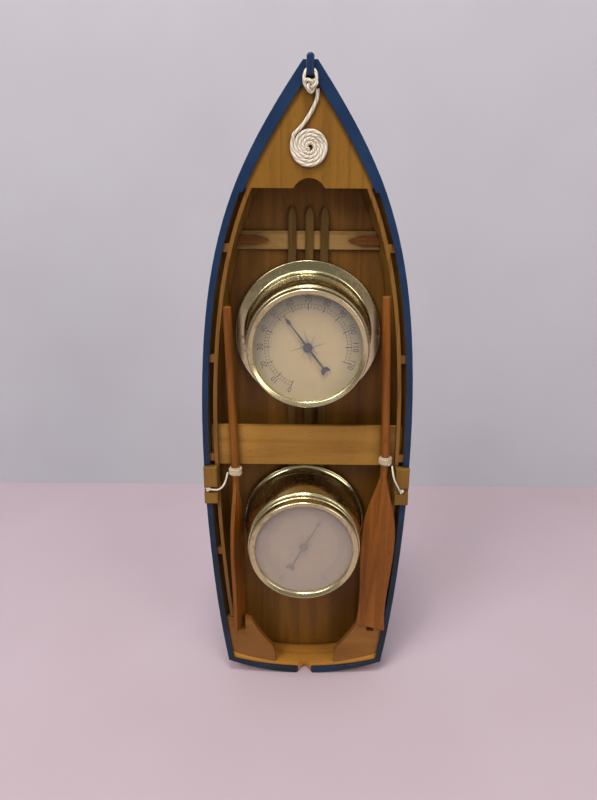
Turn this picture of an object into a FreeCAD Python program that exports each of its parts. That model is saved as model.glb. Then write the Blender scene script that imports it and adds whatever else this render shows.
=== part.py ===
import FreeCAD, Part
import math
import os
from FreeCAD import Vector

# A wall-hung ship barometer: an open wooden rowing boat, bow up and its floor against the wall,
# that carries a thermometer (upper) and an aneroid barometer (lower) in brass ship's cases.
# Millimetres. +X starboard (right), +Z up towards the bow, +Y into the wall.
# Heights h are measured out from the wall, so h stands at Y = -h.
# The origin is the mouth of the keyhole hanger, on the back plane.

# ---- driving sizes: the hull -------------------------------------------------------------------
TOP = 36.0                   # top edge of the side planks
CAP = 2.5                    # thickness of the painted gunwale capping
PLANK = 4.5                  # side plank, measured square to the hull line
BOARD = 5.0                  # back board, which is the boat's floor
FLARE = 0.40                 # how far the sides lean out for each millimetre of height
STEM_HALF = 3.2              # half thickness of the stem post
SNUG = 0.05                  # clearance of a glued or nailed joint
HULL_LINE = [                # gunwale: half breadth and place along the boat, from the stem aft
    (5.6, 94.0), (30.3, 58.0), (61.3, 2.0), (81.9, -58.0), (95.9, -145.0),
    (100.1, -240.0), (96.3, -360.0), (84.4, -479.0), (77.6, -520.0)]
OVERHANG = 0.6               # capping past the planks
CAP_WIDTH = 5.2              # capping aft of the foredeck
BOW_CAP_WIDTH = 9.4          # capping over the foredeck
BOW_CAP_TAPER = 46.0         # length over which the bow capping narrows
BOW_CAP_NARROW = 1.6         # by how much it narrows

STERN_Z = -511.0             # outer face of the transom on the centre line
STERN_HALF = 80.0
STERN_BOW = 15.0             # how far the transom bows aft over its half width
TRANSOM = 9.5
STERN_CAP_FRONT = -504.5
STERN_CAP_BOW = 11.5
NOTCH_HALF = 11.0            # sculling notch in the transom
NOTCH_DEPTH = 10.5

FOREDECK_Z = -4.7            # aft edge of the foredeck
DECK_TIP_Z = 88.0            # its blunt tip, under the stem's head
FOREDECK = 3.0
DECK_ARCH_HALF = 13.4
DECK_ARCH_RISE = 8.4

INWALE_INSET = 9.8           # gunwale line to the inwale's outer face
INWALE_WIDTH = 3.6
INWALE_DEEP = 6.0
INWALE_AFT_Z = -441.0
SPACER_LONG = 7.5
SPACER_Z = (-55.0, -156.0, -256.0, -361.0)

CROSS_Z = (-58.5, -42.0)     # forward cross board
CROSS_THICK = 3.6
CLEAT_LONG = 39.0
CLEAT_WIDE = 8.2
CLEAT_THICK = 3.0
SLAT_X = (-15.0, 0.8, 14.6)
SLAT_WIDTH = 7.2
SLAT_THICK = 5.0
SLAT_TOP_Z = -20.0
SLAT_END_Z = -392.0
SLAT_POINT = 9.0
THWART_Z = (-265.4, -224.5)
THWART_TOP = TOP - 6.0
THWART_THICK = 4.0

KNEE_THICK = 6.0
KNEE_TIP_Z = -442.0
KNEE_INNER = [(64.5, -442.0), (57.5, -444.5), (51.0, -457.0), (41.0, -471.5), (34.5, -479.0), (32.0, -488.0)]
SLOT_X = (66.3, 73.7)        # slot in the starboard knee that takes the tip of its oar
PORT_SLOT_X = (64.0, 76.0)   # the port knee's, measured to port, wider for the blade on edge
SLOT_DEEP = 16.0

ROWLOCK_Z = (-303.0, -264.0)
ROWLOCK_WIDTH = 12.9
ROWLOCK_HIGH = 7.5
SADDLE_Z = -288.0
SADDLE_R = 3.4

STEM_HEAD_TOP = TOP + 7.0
STEM_HEAD_Z = (82.0, 99.0)
STEM_HEAD_ROUND = 1.8
STEM_PROUD = 4.4             # how far the stem stands ahead of the planks at its foot

# ---- driving sizes: hanger ---------------------------------------------------------------------
KEYHOLE_R = 4.5
KEYSLOT_R = 2.2
KEYSLOT_RISE = 11.0
HANGER_HALF = 9.0
HANGER_Z = (-17.0, 24.0)
HANGER_THICK = 1.6
HANGER_POCKET = 2.8
HANGER_SCREW_Z = (-12.0, 19.5)

# ---- driving sizes: brass cases ----------------------------------------------------------------
THERMO_X, THERMO_Z = 0.0, -137.5
BARO_X, BARO_Z = -2.0, -337.0
THERMO_FLANGE_R = 69.3
BARO_FLANGE_R = 62.5
CASE_R = 52.6                # drum at its front end
SHOULDER_R = 58.0            # foot of the drum
SHOULDER_LOW = 12.0
SHOULDER_HIGH = 48.0
SHEET = 1.2                  # spun brass sheet
CASE_HIGH = 60.0             # drum front edge above the case's back
LEDGE_HIGH = CASE_HIGH - 8.0  # ledge that carries the dial
LEDGE_IN = 5.0
BEZEL_HIGH = CASE_HIGH + 6.0
BEZEL_LOW = CASE_HIGH - 3.6
BEZEL_R = CASE_R + 1.8
OPENING_R = CASE_R - 3.0
GLASS = 2.0
DIAL = 0.8
POINTER_GAP = 2.0            # dial face to pointer
POINTER_THICK = 0.5
POINTER_LONG = 37.5
POINTER_TAIL = 30.0
POINTER_HUB_R = 4.2
STAFF_R = 1.0
RUNNING = 0.05               # running clearance of a shaft in its hole
THERMO_ANGLE = -37.0         # pointer at rest, degrees clockwise from the top
BARO_ANGLE = 29.0
CASE_SCREW_PITCH_R = 49.0
SCREW_R = 1.5
SCREW_HEAD_R = 3.2

# ---- driving sizes: aneroid movement -----------------------------------------------------------
MOVEMENT_R = 36.0
MOVEMENT_LOW = 12.0
MOVEMENT_THICK = 1.5
PILLAR_R = 2.2
PILLAR_PITCH_R = 31.0
CAPSULE_R = 19.0
CAPSULE_HIGH = 8.0
ROCKER_ARM = 14.0            # rocking shaft to the chain
ROCKER_Z = 26.0              # rocking shaft above the pointer's axis
ROCKER_HALF = 15.0
ROCKER_HIGH = LEDGE_HIGH - 21.0
BRIDGE_HIGH = ROCKER_HIGH + 5.0
DRUM_R = 1.2
CHAIN_HALF = 0.25
CHAIN_GAP = 0.1

# ---- driving sizes: oars, threads and painter --------------------------------------------------
SHAFT_R = 4.0
BLADE_HALF = 16.5
BLADE_THICK = 4.2
COLLAR_R = 6.5
COLLAR_LONG = 10.0
THREAD_R = 0.9
ROPE_R = 1.6
COIL_R = 16.4
COIL_Z = 28.3
KNOT_Z = 75.4

# ---- sizes that follow ---------------------------------------------------------------------------
RAIL = TOP + CAP                              # top of the capping
SEAT = BOARD + SLAT_THICK                     # back of each case, on the slats
DIAL_FACE = SEAT + LEDGE_HIGH + SHEET + SNUG + DIAL
POINTER_H = DIAL_FACE + POINTER_GAP
ARM_RATIO = ROCKER_ARM / (DRUM_R + CHAIN_GAP + CHAIN_HALF)

nodes = {}


def at(x, h, z):
    """Point at height h out from the wall."""
    return Vector(x, -h, z)


def box(x0, x1, h0, h1, z0, z1):
    return Part.makeBox(x1 - x0, h1 - h0, z1 - z0, Vector(x0, -h1, z0))


def disc(x, z, r, h0, h1):
    """Cylinder that stands out from the wall."""
    return Part.makeCylinder(r, h1 - h0, at(x, h0, z), Vector(0, -1, 0))


def turned(x, z, profile):
    """Solid turned about an axis square to the wall from (radius, height) corners."""
    corners = [at(x + r, h, z) for r, h in profile]
    face = Part.Face(Part.makePolygon(corners + corners[:1]))
    return face.revolve(at(x, 0, z), Vector(0, -1, 0), 360)


def plate(points, h0, h1):
    """Flat piece of the given (x, z) outline."""
    corners = [at(x, h0, z) for x, z in points]
    face = Part.Face(Part.makePolygon(corners + corners[:1]))
    return face.extrude(Vector(0, h0 - h1, 0))


def mirror(shape):
    return shape.mirror(Vector(0, 0, 0), Vector(1, 0, 0))


def curve_edge(points):
    curve = Part.BSplineCurve()
    curve.interpolate(points)
    return curve.toShape()


# ---- hull lines -----------------------------------------------------------------------------------
hull_curve = Part.BSplineCurve()
hull_curve.interpolate([Vector(x, 0, z) for x, z in HULL_LINE])
STATIONS = 14


def inset_point(t, inset):
    """Point of the gunwale line at parameter t, moved square to the line by inset."""
    point = hull_curve.value(t)
    along = hull_curve.tangent(t)[0]
    amount = inset(point.z) if callable(inset) else inset
    inward = Vector(along.z, 0, -along.x)
    return point + inward * amount


def inset_line(inset, tip_half):
    """Points of the inset line, from where it is tip_half off the centre line to the stern."""
    low = hull_curve.FirstParameter
    high = hull_curve.LastParameter
    start = low
    if inset_point(low, inset).x < tip_half:
        far = low + (high - low) * 0.5
        for _ in range(50):
            middle = (start + far) / 2
            if inset_point(middle, inset).x < tip_half:
                start = middle
            else:
                far = middle
    spread = [(k / (STATIONS - 1)) ** 1.15 for k in range(STATIONS)]
    return [inset_point(start + (high - start) * s, inset) for s in spread]


def hull_outline(inset, h, tip_half=1.0):
    """Closed outline of the whole hull, inset from the gunwale line, at height h."""
    right = [Vector(p.x, -h, p.z) for p in inset_line(inset, tip_half)]
    left = [Vector(-p.x, -h, p.z) for p in right]
    edges = [Part.makeLine(left[0], right[0]), curve_edge(right),
             Part.makeLine(right[-1], left[-1]), curve_edge(left[::-1])]
    return Part.Wire(edges)


def flared(inset, h0, h1):
    """Solid inside the flared sides, between two heights."""
    wires = [hull_outline(inset + FLARE * (TOP - h), h) for h in (h0, h1)]
    return Part.makeLoft(wires, True, True)


def upright(inset, h0, h1):
    """Solid with square sides inside the inset gunwale line, between two heights."""
    return Part.Face(hull_outline(inset, h0)).extrude(Vector(0, h0 - h1, 0))


def half(shape, clear=0.0):
    """Starboard half of a shape, clear of the centre line."""
    return shape.common(box(clear, 200, -5, 90, -560, 160))


def bow_inset(z):
    """Inner edge of the capping over the foredeck, which narrows towards its aft end."""
    share = (FOREDECK_Z + BOW_CAP_TAPER - z) / BOW_CAP_TAPER
    return BOW_CAP_WIDTH - BOW_CAP_NARROW * min(max(share, 0.0), 1.0)


def arc_radius(half_width, rise):
    return (half_width ** 2 + rise ** 2) / (2 * rise)


STERN_R = arc_radius(STERN_HALF, STERN_BOW)
CAP_INNER_R = arc_radius(STERN_HALF, STERN_CAP_BOW)
stern_mould = disc(0, STERN_Z + STERN_R, STERN_R, -2, TOP)
transom_mould = disc(0, STERN_Z + STERN_R, STERN_R - TRANSOM, -2, TOP)
rail_mould = disc(0, STERN_Z + STERN_R, STERN_R + OVERHANG, TOP, RAIL)
cap_inner_mould = disc(0, STERN_CAP_FRONT + CAP_INNER_R, CAP_INNER_R, TOP, RAIL)
ahead_of_stern = box(-150, 150, -2, RAIL, -300, 150)


def notch_cutter():
    """Bell-shaped sculling notch, cut from the top edge of the transom."""
    top = RAIL + 1
    ramp = [(-NOTCH_HALF, top), (-0.62 * NOTCH_HALF, RAIL - 0.25 * NOTCH_DEPTH),
            (-0.3 * NOTCH_HALF, RAIL - 0.8 * NOTCH_DEPTH), (0, RAIL - NOTCH_DEPTH)]
    points = ramp + [(-x, h) for x, h in ramp[-2::-1]]
    corners = [at(x, h, STERN_Z - 10) for x, h in points]
    edges = [curve_edge(corners), Part.makeLine(corners[-1], corners[0])]
    return Part.Face(Part.Wire(edges)).extrude(Vector(0, 0, 40))


# ---- the boat ---------------------------------------------------------------------------------------
def make_stem(planks):
    """Stem post between the planks' ends, proud of them, with a round-nosed head on the rail."""
    low, high = STEM_HEAD_Z
    web = planks.common(box(-STEM_HALF, STEM_HALF, 0, TOP, 20, 120))
    foot = inset_line(FLARE * TOP, 1.0)[0].z
    profile = [(HULL_LINE[0][1] - 1.8, TOP), (high - 0.8, TOP), (foot + STEM_PROUD, 0), (foot - 4.6, 0)]
    corners = [at(-STEM_HALF, h, z) for z, h in profile]
    proud = Part.Face(Part.makePolygon(corners + corners[:1])).extrude(Vector(2 * STEM_HALF, 0, 0))
    nose = disc(0, high - STEM_HALF, STEM_HALF, TOP, STEM_HEAD_TOP)
    head = box(-STEM_HALF, STEM_HALF, TOP, STEM_HEAD_TOP, low, high - STEM_HALF).fuse(nose)
    head = head.removeSplitter()
    rims = [e for e in head.Edges if abs(e.CenterOfMass.y + STEM_HEAD_TOP) < 0.01]
    head = head.makeFillet(STEM_HEAD_ROUND, rims)
    return web.fuse(proud).fuse(head).removeSplitter()


def make_shell():
    """Back board, side planks, stem post and transom."""
    outer = flared(0, 0, TOP)
    inner = flared(PLANK, -1, TOP + 1)
    planks = outer.cut(inner).common(stern_mould.fuse(ahead_of_stern))
    side = half(planks, STEM_HALF + SNUG)
    nodes["starboard_side"] = side
    nodes["port_side"] = mirror(side)
    nodes["stem_post"] = make_stem(outer.cut(inner))
    inside = flared(PLANK + SNUG, 0, TOP)
    within_transom = transom_mould.fuse(ahead_of_stern)
    transom = inside.common(stern_mould).cut(within_transom)
    nodes["transom"] = transom.cut(notch_cutter())
    fitted = disc(0, STERN_Z + STERN_R, STERN_R - TRANSOM - SNUG, -2, TOP).fuse(ahead_of_stern)
    nodes["back_board"] = flared(PLANK + SNUG, 0, BOARD).common(fitted)


def make_capping():
    """Painted capping on the planks, wide over the foredeck, and the stern's own strip."""
    outer = upright(-OVERHANG, TOP, RAIL)
    narrow = outer.cut(upright(CAP_WIDTH, TOP - 1, RAIL + 1))
    wide = outer.cut(upright(bow_inset, TOP - 1, RAIL + 1))
    bow = box(-150, 150, TOP, RAIL, FOREDECK_Z - 3.5, 150)
    stern = outer.common(rail_mould).cut(cap_inner_mould).cut(ahead_of_stern)
    nodes["stern_capping"] = stern.cut(notch_cutter())
    ring = narrow.cut(bow).fuse(wide.common(bow)).removeSplitter()
    fitted = disc(0, STERN_CAP_FRONT + CAP_INNER_R, CAP_INNER_R - SNUG, TOP, RAIL).fuse(ahead_of_stern)
    post = box(-STEM_HALF - SNUG, STEM_HALF + SNUG, TOP - 1, RAIL + 1, 40, STEM_HEAD_Z[1] + 0.3)
    side = half(ring.common(fitted), SNUG).cut(post)
    nodes["starboard_capping"] = side
    nodes["port_capping"] = mirror(side)


def make_foredeck():
    deck = flared(PLANK + SNUG, TOP - FOREDECK, TOP)
    deck = deck.common(box(-150, 150, 0, TOP, FOREDECK_Z, DECK_TIP_Z))
    arch_r = arc_radius(DECK_ARCH_HALF, DECK_ARCH_RISE)
    arch_z = FOREDECK_Z + DECK_ARCH_RISE - arch_r
    nodes["foredeck"] = deck.cut(disc(0, arch_z, arch_r, 0, RAIL))


def make_inwales():
    """Inwale strips, and the blocks that space them off the planks."""
    bottom = TOP - INWALE_DEEP
    outer = upright(INWALE_INSET, bottom, TOP)
    strip = outer.cut(upright(INWALE_INSET + INWALE_WIDTH, bottom - 1, TOP + 1))
    run = box(0, 150, bottom, TOP, INWALE_AFT_Z, FOREDECK_Z - SNUG)
    side = strip.common(run)
    nodes["starboard_inwale"] = side
    nodes["port_inwale"] = mirror(side)
    between = flared(PLANK + SNUG, bottom, TOP).cut(upright(INWALE_INSET - SNUG, bottom - 1, TOP + 1))
    blocks = []
    for z in SPACER_Z:
        block = between.common(box(0, 150, bottom, TOP, z - SPACER_LONG / 2, z + SPACER_LONG / 2))
        blocks += [block, mirror(block)]
    nodes["inwale_spacers"] = blocks


def slat_outline(x, z0, z1):
    """Slat with a pointed arch at its bow end."""
    w = SLAT_WIDTH / 2
    shoulder = z1 - SLAT_POINT
    return [(x - w, z0), (x + w, z0), (x + w, shoulder), (x + 0.6 * w, z1 - 0.35 * SLAT_POINT),
            (x, z1), (x - 0.6 * w, z1 - 0.35 * SLAT_POINT), (x - w, shoulder)]


def make_floor():
    """Cross board, its end cleats, the slats halved over it, and the middle thwart."""
    room = flared(PLANK + SNUG, BOARD, TOP)
    cross = room.common(box(-150, 150, BOARD, BOARD + CROSS_THICK, *CROSS_Z))
    nodes["forward_cross_board"] = cross
    reach = room.common(box(0, 150, BOARD, BOARD + CROSS_THICK + CLEAT_THICK, *CROSS_Z)).BoundBox.XMax
    top = BOARD + CROSS_THICK
    middle = (CROSS_Z[0] + CROSS_Z[1]) / 2
    ends = [(reach - CLEAT_LONG - 4, middle), (reach - CLEAT_LONG + 8, middle - CLEAT_WIDE / 2),
            (reach, middle - CLEAT_WIDE / 2), (reach, middle + CLEAT_WIDE / 2),
            (reach - CLEAT_LONG + 8, middle + CLEAT_WIDE / 2)]
    cleat = plate(ends, top, top + CLEAT_THICK).common(flared(PLANK + 4 * SNUG, BOARD, TOP))
    nodes["foot_cleats"] = [cleat, mirror(cleat)]
    halving = box(-150, 150, 0, BOARD + CROSS_THICK + SNUG, CROSS_Z[0] - SNUG, CROSS_Z[1] + SNUG)
    slats = []
    for x in SLAT_X:
        slat = plate(slat_outline(x, SLAT_END_Z, SLAT_TOP_Z), BOARD, SEAT)
        slats.append(slat.cut(halving))
    nodes["floor_slats"] = slats
    low = THWART_TOP - THWART_THICK
    nodes["middle_thwart"] = room.common(box(-150, 150, low, THWART_TOP, *THWART_Z))


def make_knees():
    """Quarter knees between the planks and the transom, slotted for the oars' tips."""
    room = flared(PLANK + SNUG, TOP - KNEE_THICK, TOP).common(
        disc(0, STERN_Z + STERN_R, STERN_R - TRANSOM - SNUG, 0, TOP))
    inner = KNEE_INNER + [(KNEE_INNER[-1][0], STERN_Z - 5), (150, STERN_Z - 5), (150, KNEE_TIP_Z)]
    knee = room.common(plate(inner, TOP - KNEE_THICK, TOP))
    run = (0, RAIL, KNEE_TIP_Z - SLOT_DEEP, KNEE_TIP_Z + 5)
    nodes["starboard_knee"] = knee.cut(box(*SLOT_X, *run))
    nodes["port_knee"] = mirror(knee.cut(box(*PORT_SLOT_X, *run)))


def make_rowlocks():
    """Blocks that straddle the inwale and the capping, with a saddle for the lanyard."""
    middle = hull_half_breadth((ROWLOCK_Z[0] + ROWLOCK_Z[1]) / 2)
    outer = middle + OVERHANG
    block = box(outer - ROWLOCK_WIDTH, outer + 0.4, TOP, TOP + ROWLOCK_HIGH, *ROWLOCK_Z)
    crest = [e for e in block.Edges if abs(e.CenterOfMass.y + TOP + ROWLOCK_HIGH) < 0.01]
    block = block.makeFillet(1.0, crest)
    saddle = Part.makeCylinder(SADDLE_R, 60, at(60, TOP + ROWLOCK_HIGH, SADDLE_Z), Vector(1, 0, 0))
    block = block.cut(saddle).cut(nodes["starboard_capping"])
    nodes["starboard_rowlock"] = block
    nodes["port_rowlock"] = mirror(block)


def hull_half_breadth(z):
    """Half breadth of the gunwale line at a place along the boat."""
    low, high = hull_curve.FirstParameter, hull_curve.LastParameter
    for _ in range(50):
        middle = (low + high) / 2
        if hull_curve.value(middle).z > z:
            low = middle
        else:
            high = middle
    return hull_curve.value(low).x


def screw(x, z, h0, length, r, head_r):
    """Countersunk screw driven from the back, with a driver slot in its head."""
    head_high = head_r - r
    shape = turned(x, z, [(0, h0), (head_r, h0), (head_r, h0 + 0.3), (r, h0 + 0.3 + head_high),
                          (r, h0 + length - 1), (0.4, h0 + length), (0, h0 + length)])
    return shape.cut(box(x - head_r, x + head_r, h0 - 1, h0 + 0.7, z - 0.4, z + 0.4))


def screw_hole(x, z, h0, h1, r, head_r):
    """Countersunk hole that clears such a screw."""
    hole = disc(x, z, r + SNUG, h0 - 1, h1)
    head_high = head_r - r
    sink = turned(x, z, [(0, h0 - 1), (head_r + SNUG, h0 - 1), (head_r + SNUG, h0 + 0.3 + SNUG),
                         (r + SNUG, h0 + 0.3 + head_high + SNUG), (0, h0 + 0.3 + head_high + SNUG)])
    return hole.fuse(sink)


def make_hanger():
    """Keyhole plate let into the back board, with a pocket behind it for the wall screw's head."""
    outline = [(-HANGER_HALF, HANGER_Z[0]), (HANGER_HALF, HANGER_Z[0]),
               (HANGER_HALF, HANGER_Z[1]), (-HANGER_HALF, HANGER_Z[1])]
    body = plate(outline, 0, HANGER_THICK)
    corners = [e for e in body.Edges if abs(e.Vertexes[0].Y - e.Vertexes[-1].Y) > HANGER_THICK - 0.1]
    body = body.makeFillet(3.0, corners)
    let_in = body.makeOffsetShape(SNUG, 0.001)
    keyhole = disc(0, 0, KEYHOLE_R, -1, HANGER_THICK + 1)
    keyhole = keyhole.fuse(box(-KEYSLOT_R, KEYSLOT_R, -1, HANGER_THICK + 1, 0, KEYSLOT_RISE))
    keyhole = keyhole.fuse(disc(0, KEYSLOT_RISE, KEYSLOT_R, -1, HANGER_THICK + 1))
    pocket = disc(0, 0, KEYHOLE_R + 1, 0, HANGER_THICK + HANGER_POCKET)
    reach = HANGER_THICK + HANGER_POCKET
    pocket = pocket.fuse(box(-KEYHOLE_R - 1, KEYHOLE_R + 1, 0, reach, 0, KEYSLOT_RISE))
    pocket = pocket.fuse(disc(0, KEYSLOT_RISE, KEYHOLE_R + 1, 0, reach))
    board = nodes["back_board"].cut(let_in).cut(pocket)
    screws = []
    for z in HANGER_SCREW_Z:
        screws.append(screw(0, z, 0, BOARD - 0.5, 1.2, 2.4))
        hole = screw_hole(0, z, 0, BOARD, 1.2, 2.4)
        body = body.cut(hole)
        board = board.cut(hole.common(box(-9, 9, -2, BOARD - 0.3, z - 9, z + 9)))
    nodes["wall_hanger"] = body.cut(keyhole)
    nodes["hanger_screws"] = screws
    nodes["back_board"] = board


# ---- brass cases --------------------------------------------------------------------------------------
def case_profile(flange_r):
    """Outer skin from the back's rim to the drum's front, then back down inside, one sheet thick."""
    s = SEAT
    foot = [(flange_r, s), (flange_r + 0.3, s + 0.8), (flange_r - 0.3, s + 1.8),
            (SHOULDER_R + 2.4, s + 2.4), (SHOULDER_R + 0.9, s + 3.4), (SHOULDER_R + 0.3, s + 5.0),
            (SHOULDER_R, s + SHOULDER_LOW - 1.6), (SHOULDER_R + 0.7, s + SHOULDER_LOW - 0.8),
            (SHOULDER_R, s + SHOULDER_LOW)]
    deep = SHOULDER_R - CASE_R
    rise = SHOULDER_HIGH - SHOULDER_LOW
    dome = [(CASE_R + deep * math.cos(math.radians(a)), s + SHOULDER_LOW + rise * math.sin(math.radians(a)))
            for a in (18, 36, 54, 72, 90)]
    inside = [(r - SHEET, h - 0.4) for r, h in reversed(dome)]
    drum = [(CASE_R, s + CASE_HIGH - 4), (CASE_R - 0.6, s + CASE_HIGH - 4), (CASE_R - 0.6, s + CASE_HIGH)]
    wall_in = CASE_R - 0.6 - SHEET
    ledge = [(wall_in, s + CASE_HIGH), (wall_in, s + LEDGE_HIGH + SHEET),
             (wall_in - LEDGE_IN, s + LEDGE_HIGH + SHEET), (wall_in - LEDGE_IN, s + LEDGE_HIGH),
             (CASE_R - SHEET, s + LEDGE_HIGH)]
    floor = [(SHOULDER_R - SHEET, s + SHOULDER_LOW), (SHOULDER_R - SHEET, s + SHEET), (0, s + SHEET)]
    return [(0, s)] + foot + dome + drum + ledge + inside + floor


def screw_places(x, z):
    turn = [math.radians(a) for a in (45, 135, 225, 315)]
    return [(x + CASE_SCREW_PITCH_R * math.cos(a), z + CASE_SCREW_PITCH_R * math.sin(a)) for a in turn]


def pointer(x, z, angle):
    """Slim pointer with a lozenge near its tip and a crescent on its tail."""
    p0, p1 = POINTER_H, POINTER_H + POINTER_THICK
    right = [(0.3, POINTER_LONG - 5), (1.7, POINTER_LONG - 9), (0.45, POINTER_LONG - 13), (1.0, 0),
             (0.7, 5 - POINTER_TAIL)]
    arm = [(0, POINTER_LONG)] + right + [(-half_wide, z) for half_wide, z in reversed(right)]
    shape = plate(arm, p0, p1).fuse(disc(0, 0, POINTER_HUB_R, p0, p1))
    moon = disc(0, 3.2 - POINTER_TAIL, 4.2, p0, p1).cut(disc(0, -1.0 - POINTER_TAIL, 4.0, p0 - 1, p1 + 1))
    shape = shape.fuse(moon).removeSplitter()
    shape = shape.cut(disc(0, 0, STAFF_R + 0.01, p0 - 1, p1 + 1))
    shape.rotate(Vector(0, 0, 0), Vector(0, 1, 0), angle)
    shape.translate(Vector(x, 0, z))
    return shape


def spiral(x, z, h0, h1, r0, r1, turns, thick, tail):
    """Flat spiral strip with its free end carried straight out by tail."""
    count = int(turns * 12)

    def line(offset):
        points = []
        for k in range(count + 1):
            r = r0 + (r1 - r0) * k / count + offset
            a = 2 * math.pi * turns * k / count
            points.append(at(x + r * math.cos(a), h0, z + r * math.sin(a)))
        return points

    inner, outer = line(0), line(thick)
    edges = [curve_edge(inner), Part.makeLine(inner[-1], outer[-1]),
             curve_edge(outer[::-1]), Part.makeLine(outer[0], inner[0])]
    strip = Part.Face(Part.Wire(edges)).extrude(Vector(0, h0 - h1, 0))
    lug = box(x + r1 + 0.1, x + r1 + tail, h0, h1, z - 0.4, z + 0.4)
    return strip.fuse(lug)


def make_instrument(name, x, z, flange_r, angle):
    """Case, bezel, glass, dial and pointer, with the screws that hold the case to the board."""
    s = SEAT
    case = turned(x, z, case_profile(flange_r))
    board = nodes["back_board"]
    screws = []
    for sx, sz in screw_places(x, z):
        screws.append(screw(sx, sz, 0, s + 5, SCREW_R, SCREW_HEAD_R))
        hole = screw_hole(sx, sz, 0, s + 3, SCREW_R, SCREW_HEAD_R)
        case = case.cut(hole)
        board = board.cut(hole.common(box(-150, 150, -2, BOARD, -520, 100)))
    nodes["back_board"] = board
    nodes[name + "_case"] = case
    nodes[name + "_case_screws"] = screws
    bore = CASE_R - 0.6 + SNUG
    lip = s + BEZEL_LOW
    rim = s + BEZEL_HIGH
    over_glass = s + CASE_HIGH + GLASS + 3 * SNUG
    step = s + CASE_HIGH - 4 + SNUG
    nodes[name + "_bezel"] = turned(x, z, [
        (CASE_R + SNUG, lip), (BEZEL_R, lip), (BEZEL_R + 0.2, lip + 0.9), (BEZEL_R, lip + 1.8),
        (BEZEL_R - 0.9, lip + 2.4), (BEZEL_R - 1.2, rim - 2.5), (BEZEL_R - 2.0, rim - 0.7),
        (BEZEL_R - 2.8, rim), (OPENING_R + 0.9, rim - 1.5), (OPENING_R, rim - 3.0),
        (OPENING_R, over_glass), (bore, over_glass), (bore, step), (CASE_R + SNUG, step)])
    nodes[name + "_glass"] = disc(x, z, bore - SNUG, s + CASE_HIGH + SNUG, s + CASE_HIGH + SNUG + GLASS)
    dial = disc(x, z, CASE_R - 0.6 - SHEET - 2 * SNUG, DIAL_FACE - DIAL, DIAL_FACE)
    nodes[name + "_dial"] = dial.cut(disc(x, z, STAFF_R + RUNNING, 0, DIAL_FACE + 1))
    nodes[name + "_pointer"] = pointer(x, z, angle)


def make_thermometer():
    """Bimetal coil between a bracket on the dial's back and the pointer's staff."""
    x, z = THERMO_X, THERMO_Z
    make_instrument("thermometer", x, z, THERMO_FLANGE_R, THERMO_ANGLE)
    under = DIAL_FACE - DIAL - SNUG
    bar = under - 18
    reach = 17.0
    bracket = box(x - reach, x + reach, bar, bar + 1.2, z - 4, z + 4)
    for side in (-1, 1):
        foot = sorted((x + side * reach, x + side * (reach - 1.2)))
        bracket = bracket.fuse(box(foot[0], foot[1], bar, under, z - 4, z + 4))
        pad = sorted((x + side * reach, x + side * (reach + 6)))
        bracket = bracket.fuse(box(pad[0], pad[1], under - 1.2, under, z - 4, z + 4))
    bracket = bracket.cut(disc(x, z, STAFF_R + RUNNING, 0, 90)).removeSplitter()
    nodes["coil_bracket"] = bracket
    staff = disc(x, z, STAFF_R, bar - 1.5, POINTER_H + POINTER_THICK + 1.0)
    staff = staff.fuse(disc(x, z, 2.2, bar + 5, bar + 10)).fuse(disc(x, z, 2.0, POINTER_H - 0.8, POINTER_H))
    nodes["thermometer_staff"] = staff.removeSplitter()
    nodes["bimetal_coil"] = spiral(x, z, bar + 5.5, bar + 9.5, 2.5, 12.0, 5.0, 0.6, reach - 1.2 - 12.0)


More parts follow.
